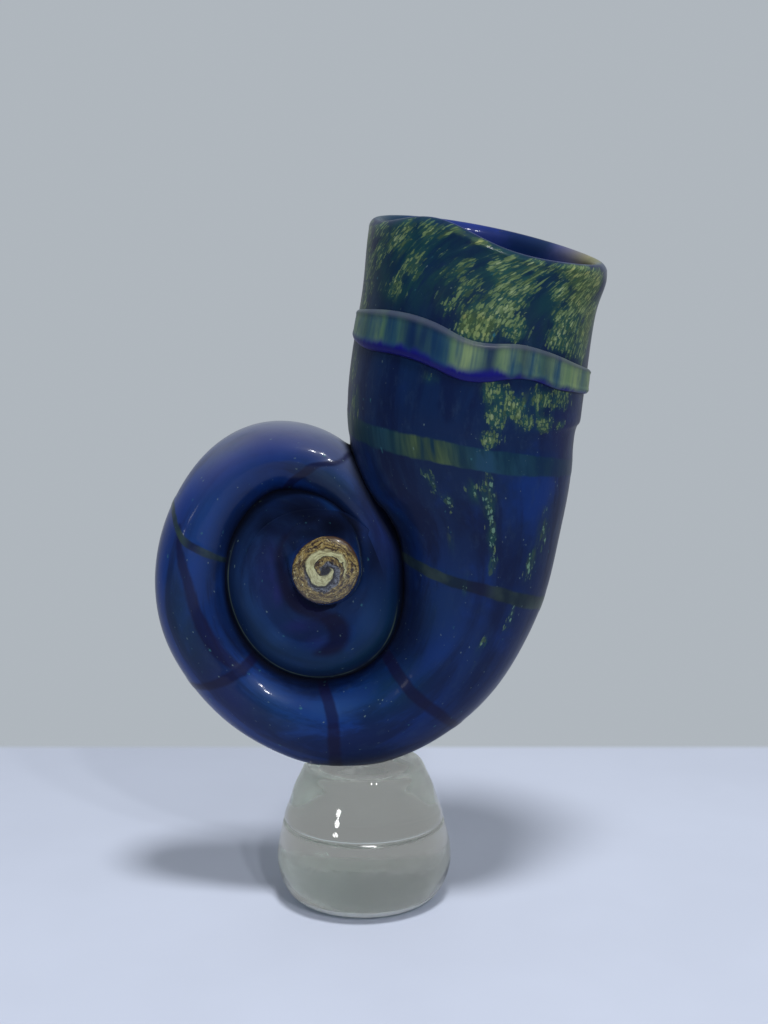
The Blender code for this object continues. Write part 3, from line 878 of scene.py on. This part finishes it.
class Sheet:
    """One side of the coil's heart, as heights towards that side over a square grid of x and z."""

    def __init__(self, tree, side):
        self.tree = tree
        self.side = side
        reach = HEART_RADIUS + HEART_MARGIN
        self.x = np.arange(HEART_MIDDLE[0] - reach, HEART_MIDDLE[0] + reach, HEART_PITCH)
        self.z = np.arange(HEART_MIDDLE[1] - reach, HEART_MIDDLE[1] + reach, HEART_PITCH)
        bare = np.array([[self.look(x, z)[0] for z in self.z] for x in self.x])
        filler, blend = (self.hub(), HUB_BLEND) if side > 0.0 else (self.skirt(), SKIRT_BLEND)
        self.height = np.maximum(bare, filler) + blend_push(bare - filler, blend) - HEART_SINK

    def look(self, x, z):
        """How far the whorls reach towards this side at x and z, and the face met there."""
        start = (x * MM, self.side * RAY_START * MM, z * MM)
        place, _, face, _ = self.tree.ray_cast(start, (0.0, -self.side, 0.0))
        return (self.side * place[1] / MM, face) if place else (-RAY_START, 0)

    def hub(self):
        """The body behind the eye, in the middle of the coil."""
        x, z = np.meshgrid(self.x, self.z, indexing="ij")
        away = ((x - HUB_MIDDLE[0]) / HUB_SIZE[0]) ** 2 + ((z - HUB_MIDDLE[2]) / HUB_SIZE[2]) ** 2
        dome = np.sqrt(np.clip(1.0 - away, 0.0, 1.0)) - np.clip(away - 1.0, 0.0, None)
        return self.side * HUB_MIDDLE[1] + HUB_SIZE[1] * dome

    def skirt(self):
        """A slope round the eye, steep at the right, where the groove passes close by."""
        x, z = np.meshgrid(self.x, self.z, indexing="ij")
        across, up = x - STATIONS[-1][0], z - STATIONS[-1][2]
        steep = hump(np.arctan2(up, across), SKIRT_STEEP_ANGLE, SKIRT_STEEP_SPREAD)
        slope = np.tan(np.radians(SKIRT_SLOPE + (SKIRT_STEEP - SKIRT_SLOPE) * steep))
        beyond = np.clip(np.hypot(across, up) - SKIRT_RADIUS, 0.0, None)
        return np.maximum(SKIRT_TOP - slope * beyond, self.shoulder(across, up))

    def shoulder(self, across, up):
        """The smooth rise above the eye, where the last whorl comes round to it."""
        turn = math.radians(SHOULDER_TURN)
        out = across * math.cos(turn) + up * math.sin(turn) - SHOULDER_AWAY
        aside = up * math.cos(turn) - across * math.sin(turn)
        fall = np.where(out > 0.0, out**2 / SHOULDER_OUT, out**2 / SHOULDER_IN)
        return SHOULDER_TOP - 0.5 * (fall + aside**2 / SHOULDER_SIDE)

    def at(self, x, z):
        """y of this side of the heart at x and z."""
        column = np.interp(x, self.x, np.arange(len(self.x)))
        row = np.interp(z, self.z, np.arange(len(self.z)))
        i = np.clip(column.astype(int), 0, len(self.x) - 2)
        j = np.clip(row.astype(int), 0, len(self.z) - 2)
        u, v = column - i, row - j
        low = self.height[i, j] * (1.0 - u) + self.height[i + 1, j] * u
        high = self.height[i, j + 1] * (1.0 - u) + self.height[i + 1, j + 1] * u
        return self.side * (low * (1.0 - v) + high * v)


def make_heart(whorl_points, whorl_faces, whorl_fields, glass):
    """A closed body whose front and rear smooth over the hollows between the innermost whorls."""
    tree = BVHTree.FromPolygons((whorl_points * MM).tolist(), whorl_faces)
    front, rear = Sheet(tree, -1.0), Sheet(tree, 1.0)
    radii = np.linspace(HEART_START, HEART_RADIUS, HEART_RINGS)
    angle = ring_angles(AROUND)
    x = HEART_MIDDLE[0] + radii[:, None] * np.cos(angle)
    z = HEART_MIDDLE[1] + radii[:, None] * np.sin(angle)
    rings = [np.stack([x, front.at(x, z), z], axis=-1), np.stack([x, rear.at(x, z), z], axis=-1)[::-1]]
    met = [front.look(*place)[1] for place in zip(x.ravel(), z.ravel())]
    met += [rear.look(*place)[1] for place in zip(x[::-1].ravel(), z[::-1].ravel())]
    corners = np.array([whorl_faces[face][:3] for face in met])
    count = (2 * HEART_RINGS, AROUND)
    fields = {}
    for key, values in whorl_fields.items():
        read = values[corners].mean(axis=1)
        fields[key] = with_poles(read.reshape(*count, *values.shape[1:]))
    points = with_poles(np.concatenate(rings))
    paint_eye_side(fields, points, (points[:, 1] < HEART_FACE).astype(float))
    return new_mesh_object("coil_heart", points, grid_faces(*count), [glass], fields)


def make_ribbon(horn):
    """A ribbon with wavy edges: a thin raised upper lip, a flat face, and a rolled lower hem."""
    angle = ring_angles(2 * AROUND)
    top, hem, low = round_table(RIBBON_EDGES, angle)
    share = np.linspace(0.0, 1.0, RIBBON_STEPS)
    aside = np.abs(2.0 * share - 1.0)
    profile = RIBBON_HEIGHT * np.clip(1.0 - aside**RIBBON_FLATNESS, 0.0, 1.0) ** RIBBON_BLUNTNESS
    for height, place, spread in RIBBON_ROLLS:
        profile += height * np.exp(-(((share - place) / spread) ** 2))
    shares = np.concatenate([share, RIBBON_UNDERSIDE])
    count = len(shares)
    heights = np.concatenate([profile, [0.0, 0.0]]) - RIBBON_ROOT * (np.arange(count) >= RIBBON_STEPS)
    heights[0] = -RIBBON_ROOT
    heights[RIBBON_STEPS - 1] = -RIBBON_ROOT
    s = top[:, None] + (low - top)[:, None] * shares[None, :]
    turn = np.repeat(angle[:, None], count, axis=1)
    wave = 1.0
    for height, around, start in RIBBON_WAVES:
        wave = wave + height * np.sin(around * turn + start)
    points = horn.surface(s, turn, SETTLE - heights[None, :] * wave)
    faces = []
    for i in range(len(angle)):
        j = (i + 1) % len(angle)
        for k in range(count):
            m = (k + 1) % count
            faces.append((i * count + k, i * count + m, j * count + m, j * count + k))
    fields = {
        "flow": horn.unrolled(s, turn).reshape(-1, 3),
        "down": np.repeat(shares[None, :], len(angle), axis=0).ravel(),
        "hem": (s - hem[:, None]).ravel(),
        "glow": glow(turn, RIBBON_GLOW).ravel(),
        "water": glow(turn, RIBBON_WATER).ravel(),
    }
    return new_mesh_object("ribbon", points.reshape(-1, 3), faces, [ribbon_glass()], fields)


def make_eye():
    """The slice of cane: a low dome, a little out of round, facing the viewer."""
    low, high = [np.array(corner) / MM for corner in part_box("murrine")]
    middle = 0.5 * (low + high)
    radius = 0.5 * (high[0] - low[0])
    angle = ring_angles(EYE_AROUND)
    out_of_round = 1.0 + sum(height * hump(angle, place, spread) for height, place, spread in EYE_BULGES)
    turns = np.linspace(EYE_START, 0.5 * math.pi, EYE_RINGS)
    rings = [(math.sin(turn), EYE_RIM + EYE_CROWN * math.cos(turn)) for turn in turns]
    points, dial = [], []
    for share, height in (*rings, *EYE_BACK):
        across = share * radius * out_of_round
        x, z = across * np.cos(angle), across * np.sin(angle)
        points.append(np.stack([middle[0] + x, np.full_like(x, high[1] - height), middle[2] + z], axis=-1))
        dial.append(np.stack([x / radius, z / radius, np.zeros_like(x)], axis=-1))
    faces = grid_faces(len(points), EYE_AROUND)
    fields = {"dial": with_poles(np.array(dial))}
    return new_mesh_object("eye", with_poles(np.array(points)), faces, [eye_glass()], fields)


def make_foot():
    """The solid foot, turned from its profile, with a slight waviness of hand-shaped glass."""
    knots = distances_along(np.array(FOOT_PROFILE))
    places = np.linspace(0.0, knots[-1], FOOT_FINE * len(FOOT_PROFILE))
    profile = natural_spline(knots, np.array(FOOT_PROFILE), places)
    profile[:, 1] = np.maximum(profile[:, 1], 0.0)
    angle = ring_angles(FOOT_AROUND)
    radius, height = profile[:, :1], profile[:, 1:]
    wave = np.sin(2.0 * angle + 0.4) + 0.5 * np.sin(3.0 * angle + FOOT_TWIST * height)
    lap = smooth_step(LAP_START - LAP_SLOPE * np.sin(angle))
    ledge = LAP_LEDGE * np.exp(-(((height - LAP_HEIGHT) / LAP_SPREAD) ** 2))
    wavy = radius + FOOT_WAVE * wave * smooth_step(height / FOOT_WAVE_START) - lap * ledge
    points = np.stack([wavy * np.cos(angle), wavy * np.sin(angle), height + 0.0 * angle], axis=-1)
    faces = grid_faces(len(profile), FOOT_AROUND)
    glass = [clear_glass(*look) for look in FOOT_GLASS]
    piece = new_mesh_object("glass_foot", with_poles(points), faces, glass)
    for face in piece.data.polygons:
        low = face.center[2] / MM
        face.material_index = int(low < LAP_HEIGHT) + int(low < GROUND_BASE)
    return piece


class Nodes:
    """Short names for building a node tree. A name in place of a value is a field of the mesh."""

    def __init__(self, tree):
        self.tree = tree

    def node(self, kind, **settings):
        made = self.tree.nodes.new(kind)
        for key, value in settings.items():
            setattr(made, key, value)
        return made

    def put(self, socket, value):
        """Links a field or another node's socket, or sets a plain value."""
        if isinstance(value, str):
            side = "Vector" if socket.type == "VECTOR" else "Fac"
            value = self.node("ShaderNodeAttribute", attribute_name=value).outputs[side]
        if isinstance(value, bpy.types.NodeSocket):
            self.tree.links.new(value, socket)
        elif hasattr(value, "__len__") and socket.type == "RGBA":
            socket.default_value = (*value, 1.0)
        else:
            socket.default_value = value

    def coordinates(self, kind):
        return self.node("ShaderNodeTexCoord").outputs[kind]

    def split(self, vector):
        made = self.node("ShaderNodeSeparateXYZ")
        self.put(made.inputs[0], vector)
        return made.outputs

    def join(self, *parts):
        made = self.node("ShaderNodeCombineXYZ")
        for socket, part in zip(made.inputs, parts):
            self.put(socket, part)
        return made.outputs[0]

    def math(self, operation, first, second=0):
        made = self.node("ShaderNodeMath", operation=operation)
        self.put(made.inputs[0], first)
        self.put(made.inputs[1], second)
        return made.outputs[0]

    def plus(self, first, second):
        return self.math("ADD", first, second)

    def minus(self, first, second):
        return self.math("SUBTRACT", first, second)

    def times(self, product, *others):
        for other in others:
            product = self.math("MULTIPLY", product, other)
        return product

    def swing(self, noise, *amounts):
        """Noise made to swing to both sides of 0, by these amounts multiplied."""
        return self.times(self.minus(noise, 0.5), *amounts)

    def vector_math(self, operation, first, second):
        made = self.node("ShaderNodeVectorMath", operation=operation)
        self.put(made.inputs[0], first)
        self.put(made.inputs[1], second)
        return made.outputs[0]

    def step(self, value, start, end, low=0, high=1):
        """A smooth step of value from low at start to high at end."""
        made = self.node("ShaderNodeMapRange", interpolation_type="SMOOTHSTEP")
        for key, number in (("From Min", start), ("From Max", end), ("To Min", low), ("To Max", high)):
            self.put(made.inputs[key], number)
        self.put(made.inputs["Value"], value)
        return made.outputs["Result"]

    def texture(self, kind, places, **settings):
        made = self.node(kind)
        self.put(made.inputs["Vector"], places)
        for key, value in settings.items():
            self.put(made.inputs[key], value)
        return made.outputs

    def noise(self, places, scale, detail=3, roughness=0.55, along=1, distortion=0):
        """Noise, stretched along the first axis where along is below 1."""
        if along < 1:
            places = self.vector_math("MULTIPLY", places, (along, 1, 1))
        looks = {"Scale": scale, "Detail": detail, "Roughness": roughness, "Distortion": distortion}
        return self.texture("ShaderNodeTexNoise", places, **looks)["Fac"]

    def mix(self, share, first, second):
        made = self.node("ShaderNodeMix", data_type="RGBA")
        self.put(made.inputs["Factor"], share)
        self.put(made.inputs[6], first)
        self.put(made.inputs[7], second)
        return made.outputs[2]

    def layers(self, colour, *others):
        """A colour with others laid over it in turn, each given with the factors of its share."""
        for other, *shares in others:
            colour = self.mix(self.times(*shares), colour, other)
        return colour


class Shader(Nodes):
    """A material's nodes, round one Principled shader."""

    def __init__(self, name, roughness, coat=0, coat_roughness=0.03, mirror=0.5):
        self.material = bpy.data.materials.new(name)
        self.material.use_nodes = True
        super().__init__(self.material.node_tree)
        self.surface = self.tree.nodes["Principled BSDF"]
        self.set("Roughness", roughness)
        self.set("IOR", GLASS_IOR)
        self.set("Coat Weight", coat)
        self.set("Coat Roughness", coat_roughness)
        self.set("Specular IOR Level", mirror)

    def set(self, socket, value):
        self.put(self.surface.inputs[socket], value)

    def bump(self, height, strength, distance):
        made = self.node("ShaderNodeBump")
        for key, value in (("Strength", strength), ("Distance", distance), ("Height", height)):
            self.put(made.inputs[key], value)
        self.set("Normal", made.outputs["Normal"])

    def link_output(self, socket, value):
        output = next(node for node in self.tree.nodes if node.type == "OUTPUT_MATERIAL")
        self.put(output.inputs[socket], value)


def fleck_layer(shader, density, scale, along, least, keep):
    """Grains of another glass, where the density is high enough, and a random number for each."""
    wobble = shader.swing(shader.noise("run", FLECK_WOBBLE, 2))
    shift = shader.join(*(shader.times(wobble, amount) for amount in FLECK_BEND))
    bent = shader.vector_math("ADD", "run", shift)
    drawn = shader.vector_math("MULTIPLY", bent, (along, 1, 1))
    cells = shader.texture("ShaderNodeTexVoronoi", drawn, Scale=scale)
    chance = shader.node("ShaderNodeSeparateColor")
    shader.put(chance.inputs[0], cells["Color"])
    stays, wide, kind = chance.outputs
    here = shader.step(shader.minus(shader.times(density, keep), stays), 0, 0.06)
    size = shader.plus(shader.times(wide, 0.24), least)
    return shader.times(here, shader.step(shader.minus(size, cells["Distance"]), -0.02, 0.16)), kind


def horn_glass():
    """Satin glass whose colours follow the horn, with a clear shine on the lip and the outer coil."""
    shader = Shader("horn_glass", 0.4, 0.25, 0.09, SATIN)
    shader.set("Sheen Weight", FROST)
    shader.set("Sheen Roughness", 0.35)
    cloud = shader.noise("flow", 24, 4, 0.6)
    drawn = shader.noise("flow", 62, 5, 0.62, 0.2, 0.5)
    body = body_colours(shader, cloud, drawn)
    body = mouth_colours(shader, body)
    body = trail_colours(shader, body)
    body = fleck_colours(shader, body)
    body = throat_colours(shader, body, cloud)
    shader.set("Base Color", groove_colours(shader, body))
    satin = shader.step(drawn, 0.3, 0.7, 0.34, 0.46)
    shader.set("Roughness", shader.plus(satin, shader.times("dark_glass_and_shade", 0.55)))
    outer = shader.step("level", 540, 580, 1, 0)
    coil = shader.times(shader.step("level", 290, 350), outer)
    shine = shader.math("MAXIMUM", coil, shader.step("level", 6, 12, 1, 0.15))
    coat = shader.step("dark_glass_and_shade", 0.1, 0.8, 0.25, 0)
    shader.set("Coat Weight", shader.times(coat, shader.times(shine, outer)))
    fine = shader.noise("flow", 420, along=0.4)
    shader.bump(shader.plus(shader.times(fine, 0.25), shader.noise("flow", 90)), 0.22, BUMP_DEPTH)
    return shader.material


def body_colours(shader, cloud, drawn):
    """The blues from mouth to tip, with the clouds and drawn veins of other glass in them, painted sheen and
    painted shade.
    """
    lit = shader.times(shader.step(cloud, 0.48, 0.72), 0.5)
    lit = shader.math("MAXIMUM", lit, shader.times("bright_glass", 0.85))
    motes = shader.noise("run", 230, 6, 0.7, 0.45)
    return shader.layers(
        MOUTH_BLUE,
        (NECK_BLUE, shader.step("level", 60, 90)),
        (BODY_BLUE, shader.step("level", 130, 190)),
        (COIL_BLUE, shader.step("level", 240, 330)),
        (INNER_BLUE, shader.step("level", 535, 600)),
        (BRIGHT_BLUE, lit, shader.step("level", 60, 150)),
        (DEEP_BLUE, shader.step(drawn, 0.42, 0.6), 0.82),
        # Steel blue over the light patches: lighter glass, and painted sheen.
        (STEEL, "light_glass_and_sheen", shader.step(drawn, 0.75, 0.35), 0.75),
        (TEAL, "teal_glass", shader.step(drawn, 0.2, 0.55), 0.85),
        (VIOLET, "violet_glass", shader.step(cloud, 0.2, 0.5), 0.8),
        # Painted sheen in lilac along the coil's top.
        (LILAC, "lilac_sheen", shader.step(cloud, 0.3, 0.52, 0.6, 1)),
        (MIST, shader.step(motes, 0.5, 0.74), shader.step("level", 60, 260, 0.42, 0.2)),
        # Near black over the dark patches: partly dark glass, partly painted shade.
        (CREASE, "dark_glass_and_shade", 0.92),
    )


def mouth_colours(shader, body):
    """The dark glass round the mouth, with drawn clouds of green and near black."""
    upper = shader.step("level", 66, 84, 1, 0)
    mottle = shader.noise("run", 120, 5, 0.65, 0.3, 0.6)
    streak = shader.noise("run", 330, 4, 0.6, 0.16)
    fold = shader.plus("tan", shader.swing(streak, 3))
    return shader.layers(
        body,
        (MOUTH_DARK, "violet_glass", shader.step(mottle, 0.3, 0.55), upper, 0.9),
        (SEA_GREEN, "teal_glass", shader.step(mottle, 0.36, 0.6), upper),
        (SEA_GREEN, shader.step("fleck", 0.1, 0.9), shader.step(mottle, 0.34, 0.66), 0.85),
        (OLIVE, shader.step(streak, 0.52, 0.7), shader.step("fleck", 0.08, 0.6), 0.6),
        (TAN, shader.step(fold, -0.6, 0.8, 1, 0), 0.8),
    )


def trail_colours(shader, body):
    """The wound trails. The one under the mouth changes from green to blue as it goes round."""
    ragged = shader.swing(shader.noise("flow", 130), 1.8)
    streak = shader.noise("flow", 170, 3, 0.6, 0.1)
    fibre = shader.step(streak, 0.36, 0.66)
    band = shader.layers(
        TEAL,
        (SEA_GREEN, fibre, 0.7),
        (OLIVE, "band_glow", shader.step(streak, 0.25, 0.6)),
        (YELLOW_GREEN, "band_glow", shader.step(streak, 0.46, 0.72), 0.45),
        (RIBBON_TEAL, "band_water", fibre),
        (NECK_BLUE, "band_fade", 0.75),
    )
    olive = shader.layers(
        DARK_OLIVE,
        (PALE_OLIVE, shader.step(shader.noise("flow", 60), 0.35, 0.65)),
        (DARK_VIOLET, "olive_dusk", 0.8),
    )
    return shader.layers(
        body,
        (CURL_VIOLET, "curl", 0.85),
        (DARK_VIOLET, shader.step(shader.plus("violet", ragged), -1, 0.9, 1, 0), 0.74),
        (olive, shader.step(shader.plus("olive", ragged), -0.7, 0.5, 1, 0), 0.85),
        (band, shader.step(shader.plus("band", ragged), -0.8, 0.4, 1, 0), 0.95),
    )


def fleck_colours(shader, body):
    """Flecks crowd into clusters over a green haze, and thin out into drawn threads."""
    clump = shader.swing(shader.noise("run", 150, 4, 0.65, 0.4), 1.5)
    density = shader.plus("fleck", shader.times(clump, shader.step("fleck", 0.03, 0.25)))
    low = shader.step("level", 112, 130)
    crowd = shader.times(shader.step(density, 0.22, 0.8), shader.step(low, 0, 1, 1, 0.58))
    loose = shader.step(density, 0.05, 0.45)
    tone = shader.step(shader.plus("golden", shader.swing(shader.noise("flow", 70))), 0.3, 0.7)
    spring = shader.layers(YELLOW_GREEN, (DASH_GREEN, low, 0.8))
    pale = shader.mix(tone, CREAM, YELLOW_CREAM)
    bright = shader.layers(OLIVE, (pale, shader.step(density, 0.45, 0.85)), (DASH_GREEN, low, 0.8))
    body = shader.layers(body, (shader.mix(tone, HAZE_TEAL, HAZE_GREEN), crowd, 0.85))
    for form, where, first, second, share in (
        (THREADS, loose, SEA_GREEN, YELLOW_GREEN, 0.75),
        (FAINT_FLECKS, crowd, SEA_GREEN, OLIVE, 0.6),
        (SMALL_FLECKS, crowd, OLIVE, spring, 0.7),
        (BOLD_FLECKS, crowd, spring, bright, 0.75),
    ):
        grains, kind = fleck_layer(shader, where, *form)
        body = shader.layers(body, (shader.mix(kind, first, second), grains, share))
    # Pale lilac over the light patches near the lip, which hold painted sheen.
    body = shader.layers(body, (RIBBON_LILAC, "light_glass_and_sheen", shader.step("level", 50, 70, 1, 0), 0.8))
    for form, colour, share in ((STRAY_SPECKS, SPECK_TEAL, 0.8), (STRAY_DUST, SPECK_PALE, 0.7)):
        body = shader.layers(body, (colour, fleck_layer(shader, STRAYS, *form)[0], share))
    return body


def throat_colours(shader, body, cloud):
    """Inside, the wall is blue at the rear lip and falls away to near black, painted as shade deep in the
    bore.
    """
    turned = shader.mix(shader.step(cloud, 0.4, 0.6), TAN, OLIVE)
    wall = shader.layers(
        THROAT_BLUE,
        (BODY_BLUE, shader.step(cloud, 0.35, 0.65)),
        (TEAL, "throat_dark"),
        (turned, "throat_tan", shader.step("level", 3, 16, 1, 0)),
        # Painted shade: near black deeper down the bore.
        (CREASE, shader.step("level", 6, 70)),
    )
    return shader.layers(body, (wall, shader.step("inside", 0.55, 1)))


def groove_colours(shader, body):
    """Near black in the grooves between whorls as painted shade, with a broken painted glint along the
    innermost.
    """
    edge = shader.times(shader.step("crease", 0.06, 0.18), shader.step("crease", 0.46, 0.3))
    inner = shader.times(shader.step("level", 590, 606), shader.step("level", 700, 680))
    broken = shader.step(shader.noise("flow", 55, 4), 0.36, 0.54)
    # Painted groove shade in near black, then a painted green glint at its edge on the innermost whorl.
    return shader.layers(body, (CREASE, "crease", 0.9), (GLINT_GREEN, edge, inner, broken, 0.7))


def ribbon_glass():
    """Blue and green glass drawn in streaks across the ribbon, a dark blue hem, painted sheen on top, painted
    shade below.
    """
    shader = Shader("ribbon_glass", 0.4, 0.1, 0.2, SATIN)
    streak = shader.noise("flow", 150, 3, 0.6, 0.1)
    broad = shader.noise("flow", 40, 3, 0.6, 0.25)
    blotch = shader.noise("flow", 85, 4, 0.65, 0.5, 0.4)
    calm = shader.step(blotch, 0.66, 0.46, 0.45, 1)
    base = shader.layers(
        RIBBON_TEAL,
        (RIBBON_GREEN, shader.step(streak, 0.34, 0.66)),
        (NECK_BLUE, "water", shader.step(broad, 0.3, 0.55)),
        (RIBBON_TEAL, shader.step(blotch, 0.5, 0.68), 0.6),
        (RIBBON_LIGHT, "glow", shader.step(streak, 0.28, 0.62), calm, 0.95),
        (HEM_BLUE, shader.step(shader.plus("hem", shader.swing(streak, 9)), -2.2, 2.2)),
        # Painted sheen in pale lilac along the upper ridge.
        (RIBBON_LILAC, shader.step("down", 0.1, 0.22, 1, 0), 0.75),
        # Painted shade in near black under the lower edge.
        (CREASE, shader.step("down", 0.93, 1), 0.9),
    )
    shader.set("Base Color", base)
    shader.set("Roughness", shader.step(streak, 0.3, 0.7, 0.38, 0.5))
    shader.bump(shader.noise("flow", 150, along=0.3), 0.25, BUMP_DEPTH)
    return shader.material


def eye_glass():
    """A plain swirl in cream and dark glass inside a ring of flecked gold."""
    shader = Shader("eye_glass", 0.24, 0.4, 0.07)
    warp = shader.texture("ShaderNodeTexNoise", "dial", Scale=2.6, Detail=4)["Color"]
    drift = shader.vector_math("SUBTRACT", warp, (0.5, 0.5, 0.5))
    bent = shader.vector_math("ADD", "dial", shader.vector_math("MULTIPLY", drift, (0.34, 0.34, 0)))
    x, z, _ = shader.split(bent)
    radius = shader.math("SQRT", shader.plus(shader.times(x, x), shader.times(z, z)))
    turn = shader.math("DIVIDE", shader.math("ARCTAN2", z, x), 2.0 * math.pi)
    angle = shader.times(turn, 2.0 * math.pi)
    ringed = shader.join(shader.times(radius, 9), shader.math("SINE", angle), shader.math("COSINE", angle))
    arcs = shader.noise(ringed, 2.2, 4, 0.65)
    fine = shader.noise(bent, 13, 5, 0.7, distortion=0.8)
    phase = shader.math("FRACT", shader.plus(shader.plus(turn, shader.times(radius, 1.5)), 1.1))
    gold = shader.layers(
        EYE_BROWN,
        (EYE_GOLD, shader.step(arcs, 0.4, 0.6)),
        (EYE_CREAM, shader.step(fine, 0.57, 0.7)),
        (EYE_DARK, shader.step(fine, 0.5, 0.4), 0.85),
    )
    swirl = shader.layers(
        EYE_TAN,
        (EYE_CREAM, shader.step(arcs, 0.35, 0.6)),
        (EYE_DARK, shader.step(phase, 0.4, 0.47)),
        (shader.mix(shader.step(fine, 0.4, 0.6), EYE_DARK, EYE_GREY), shader.step(phase, 0.5, 0.58)),
        (gold, shader.step(phase, 0.72, 0.8)),
        (EYE_DARK, shader.step(phase, 0.93, 1)),
        (EYE_DARK, shader.step(radius, 0.1, 0.2, 1, 0)),
    )
    edge = shader.step(radius, 0.93, 1)
    colour = shader.layers(gold, (swirl, shader.step(radius, 0.58, 0.7, 1, 0)), (EYE_BROWN, edge))
    shader.set("Base Color", colour)
    shader.bump(shader.plus(fine, arcs), 0.25, 0.0006)
    return shader.material


def clear_glass(name, smoothest, roughest, grain_scale, clearness=1):
    """Solid glass, clear where it is fire-polished and frosted where it is ground."""
    shader = Shader(name, 0)
    shader.set("Base Color", CLEAR)
    shader.set("Transmission Weight", clearness)
    cloud = shader.noise(shader.coordinates("Object"), grain_scale)
    shader.set("Roughness", shader.step(cloud, 0.35, 0.7, smoothest, roughest))
    shader.bump(cloud, 0.2, BUMP_DEPTH)
    depth = shader.node("ShaderNodeVolumeAbsorption")
    shader.put(depth.inputs["Color"], CLEAR_DEPTH)
    shader.put(depth.inputs["Density"], 3)
    shader.link_output("Volume", depth.outputs[0])
    return shader.material


def make_floor():
    """The shelf and the wall's colour beyond it, which gives its own light. Seen through glass it is grey."""
    mesh = bpy.data.meshes.new("floor")
    corners = [(x * FLOOR_HALF, y * FLOOR_HALF, -FLOOR_DROP) for x, y in ((-1, -1), (1, -1), (1, 1), (-1, 1))]
    mesh.from_pydata(corners, [], [(0, 1, 2, 3)])
    floor = bpy.data.objects.new("floor", mesh)
    bpy.context.scene.collection.objects.link(floor)
    shader = Shader("floor_paint", 0.6, 0, 0.1, 0.2)
    place = shader.coordinates("Object")
    worn = tuple(FLOOR_WORN * part for part in FLOOR_COLOUR)
    shader.set("Base Color", shader.mix(shader.step(shader.noise(place, 8), 0.3, 0.7), FLOOR_COLOUR, worn))
    x, y, _ = shader.split(place)
    aside = shader.plus(shader.math("ABSOLUTE", x), SHELF_BACK - SHELF_HALF)
    away = shader.step(shader.math("MAXIMUM", aside, y), SHELF_BACK, SHELF_BACK + SHELF_EDGE)
    through = shader.times(shader.node("ShaderNodeLightPath").outputs["Is Transmission Ray"], 0.95)
    paint = shader.surface.outputs[0]
    for share, colour in ((through, FLOOR_THROUGH), (away, WALL_COLOUR)):
        glowing = shader.node("ShaderNodeEmission")
        shader.put(glowing.inputs["Color"], colour)
        blend = shader.node("ShaderNodeMixShader")
        for socket, value in zip(blend.inputs, (share, paint, glowing.outputs[0])):
            shader.put(socket, value)
        paint = blend.outputs[0]
    shader.link_output("Surface", paint)
    mesh.materials.append(shader.material)


def make_world():
    """Dark in front, pale behind and above; one plain colour where the camera or the glass sees it."""
    world = bpy.data.worlds.new("surroundings")
    bpy.context.scene.world = world
    world.use_nodes = True
    nodes = Nodes(world.node_tree)
    _, back, up = nodes.split(nodes.coordinates("Generated"))
    path = nodes.node("ShaderNodeLightPath").outputs
    room = nodes.layers(
        DARK_ROOM,
        (WALL_COLOUR, nodes.step(back, -0.25, 0.55)),
        (CEILING, nodes.step(up, 0.35, 0.95)),
        (SEEN_THROUGH, path["Is Transmission Ray"]),
        (WALL_COLOUR, path["Is Camera Ray"]),
    )
    nodes.put(world.node_tree.nodes["Background"].inputs["Color"], room)


def make_lamp(name, place, target, size, spread, power, glints):
    data = bpy.data.lights.new(name, "AREA")
    data.shape = "ELLIPSE"
    data.size, data.size_y = size
    data.spread = math.radians(spread)
    data.energy = power
    lamp = bpy.data.objects.new(name, data)
    bpy.context.scene.collection.objects.link(lamp)
    lamp.visible_glossy = glints
    lamp.location = place
    away = np.array(target) - np.array(place)
    level = math.hypot(away[0], away[1])
    lamp.rotation_euler = (math.atan2(level, -away[2]), 0.0, math.atan2(away[1], away[0]) - 0.5 * math.pi)


def make_camera():
    data = bpy.data.cameras.new("camera")
    data.lens = CAMERA_LENS
    data.sensor_width = CAMERA_SENSOR
    camera = bpy.data.objects.new("camera", data)
    camera.location = CAMERA_PLACE
    camera.rotation_euler = (math.radians(90.0 - CAMERA_TILT), 0.0, 0.0)
    bpy.context.scene.collection.objects.link(camera)
    bpy.context.scene.camera = camera


def dress(piece, node):
    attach(piece, "root")
    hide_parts(node)


make_camera()
make_world()
for lamp_facts in LAMPS:
    make_lamp(*lamp_facts)
make_floor()
HORN = Horn()
HORN_PIECE, HEART_PIECE = make_horn(HORN)
dress(HORN_PIECE, "shell")
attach(HEART_PIECE, "root")
dress(make_ribbon(HORN), "mouth_ribbon")
dress(make_eye(), "murrine")
dress(make_foot(), "foot")

bpy.context.scene.view_settings.view_transform = "Standard"
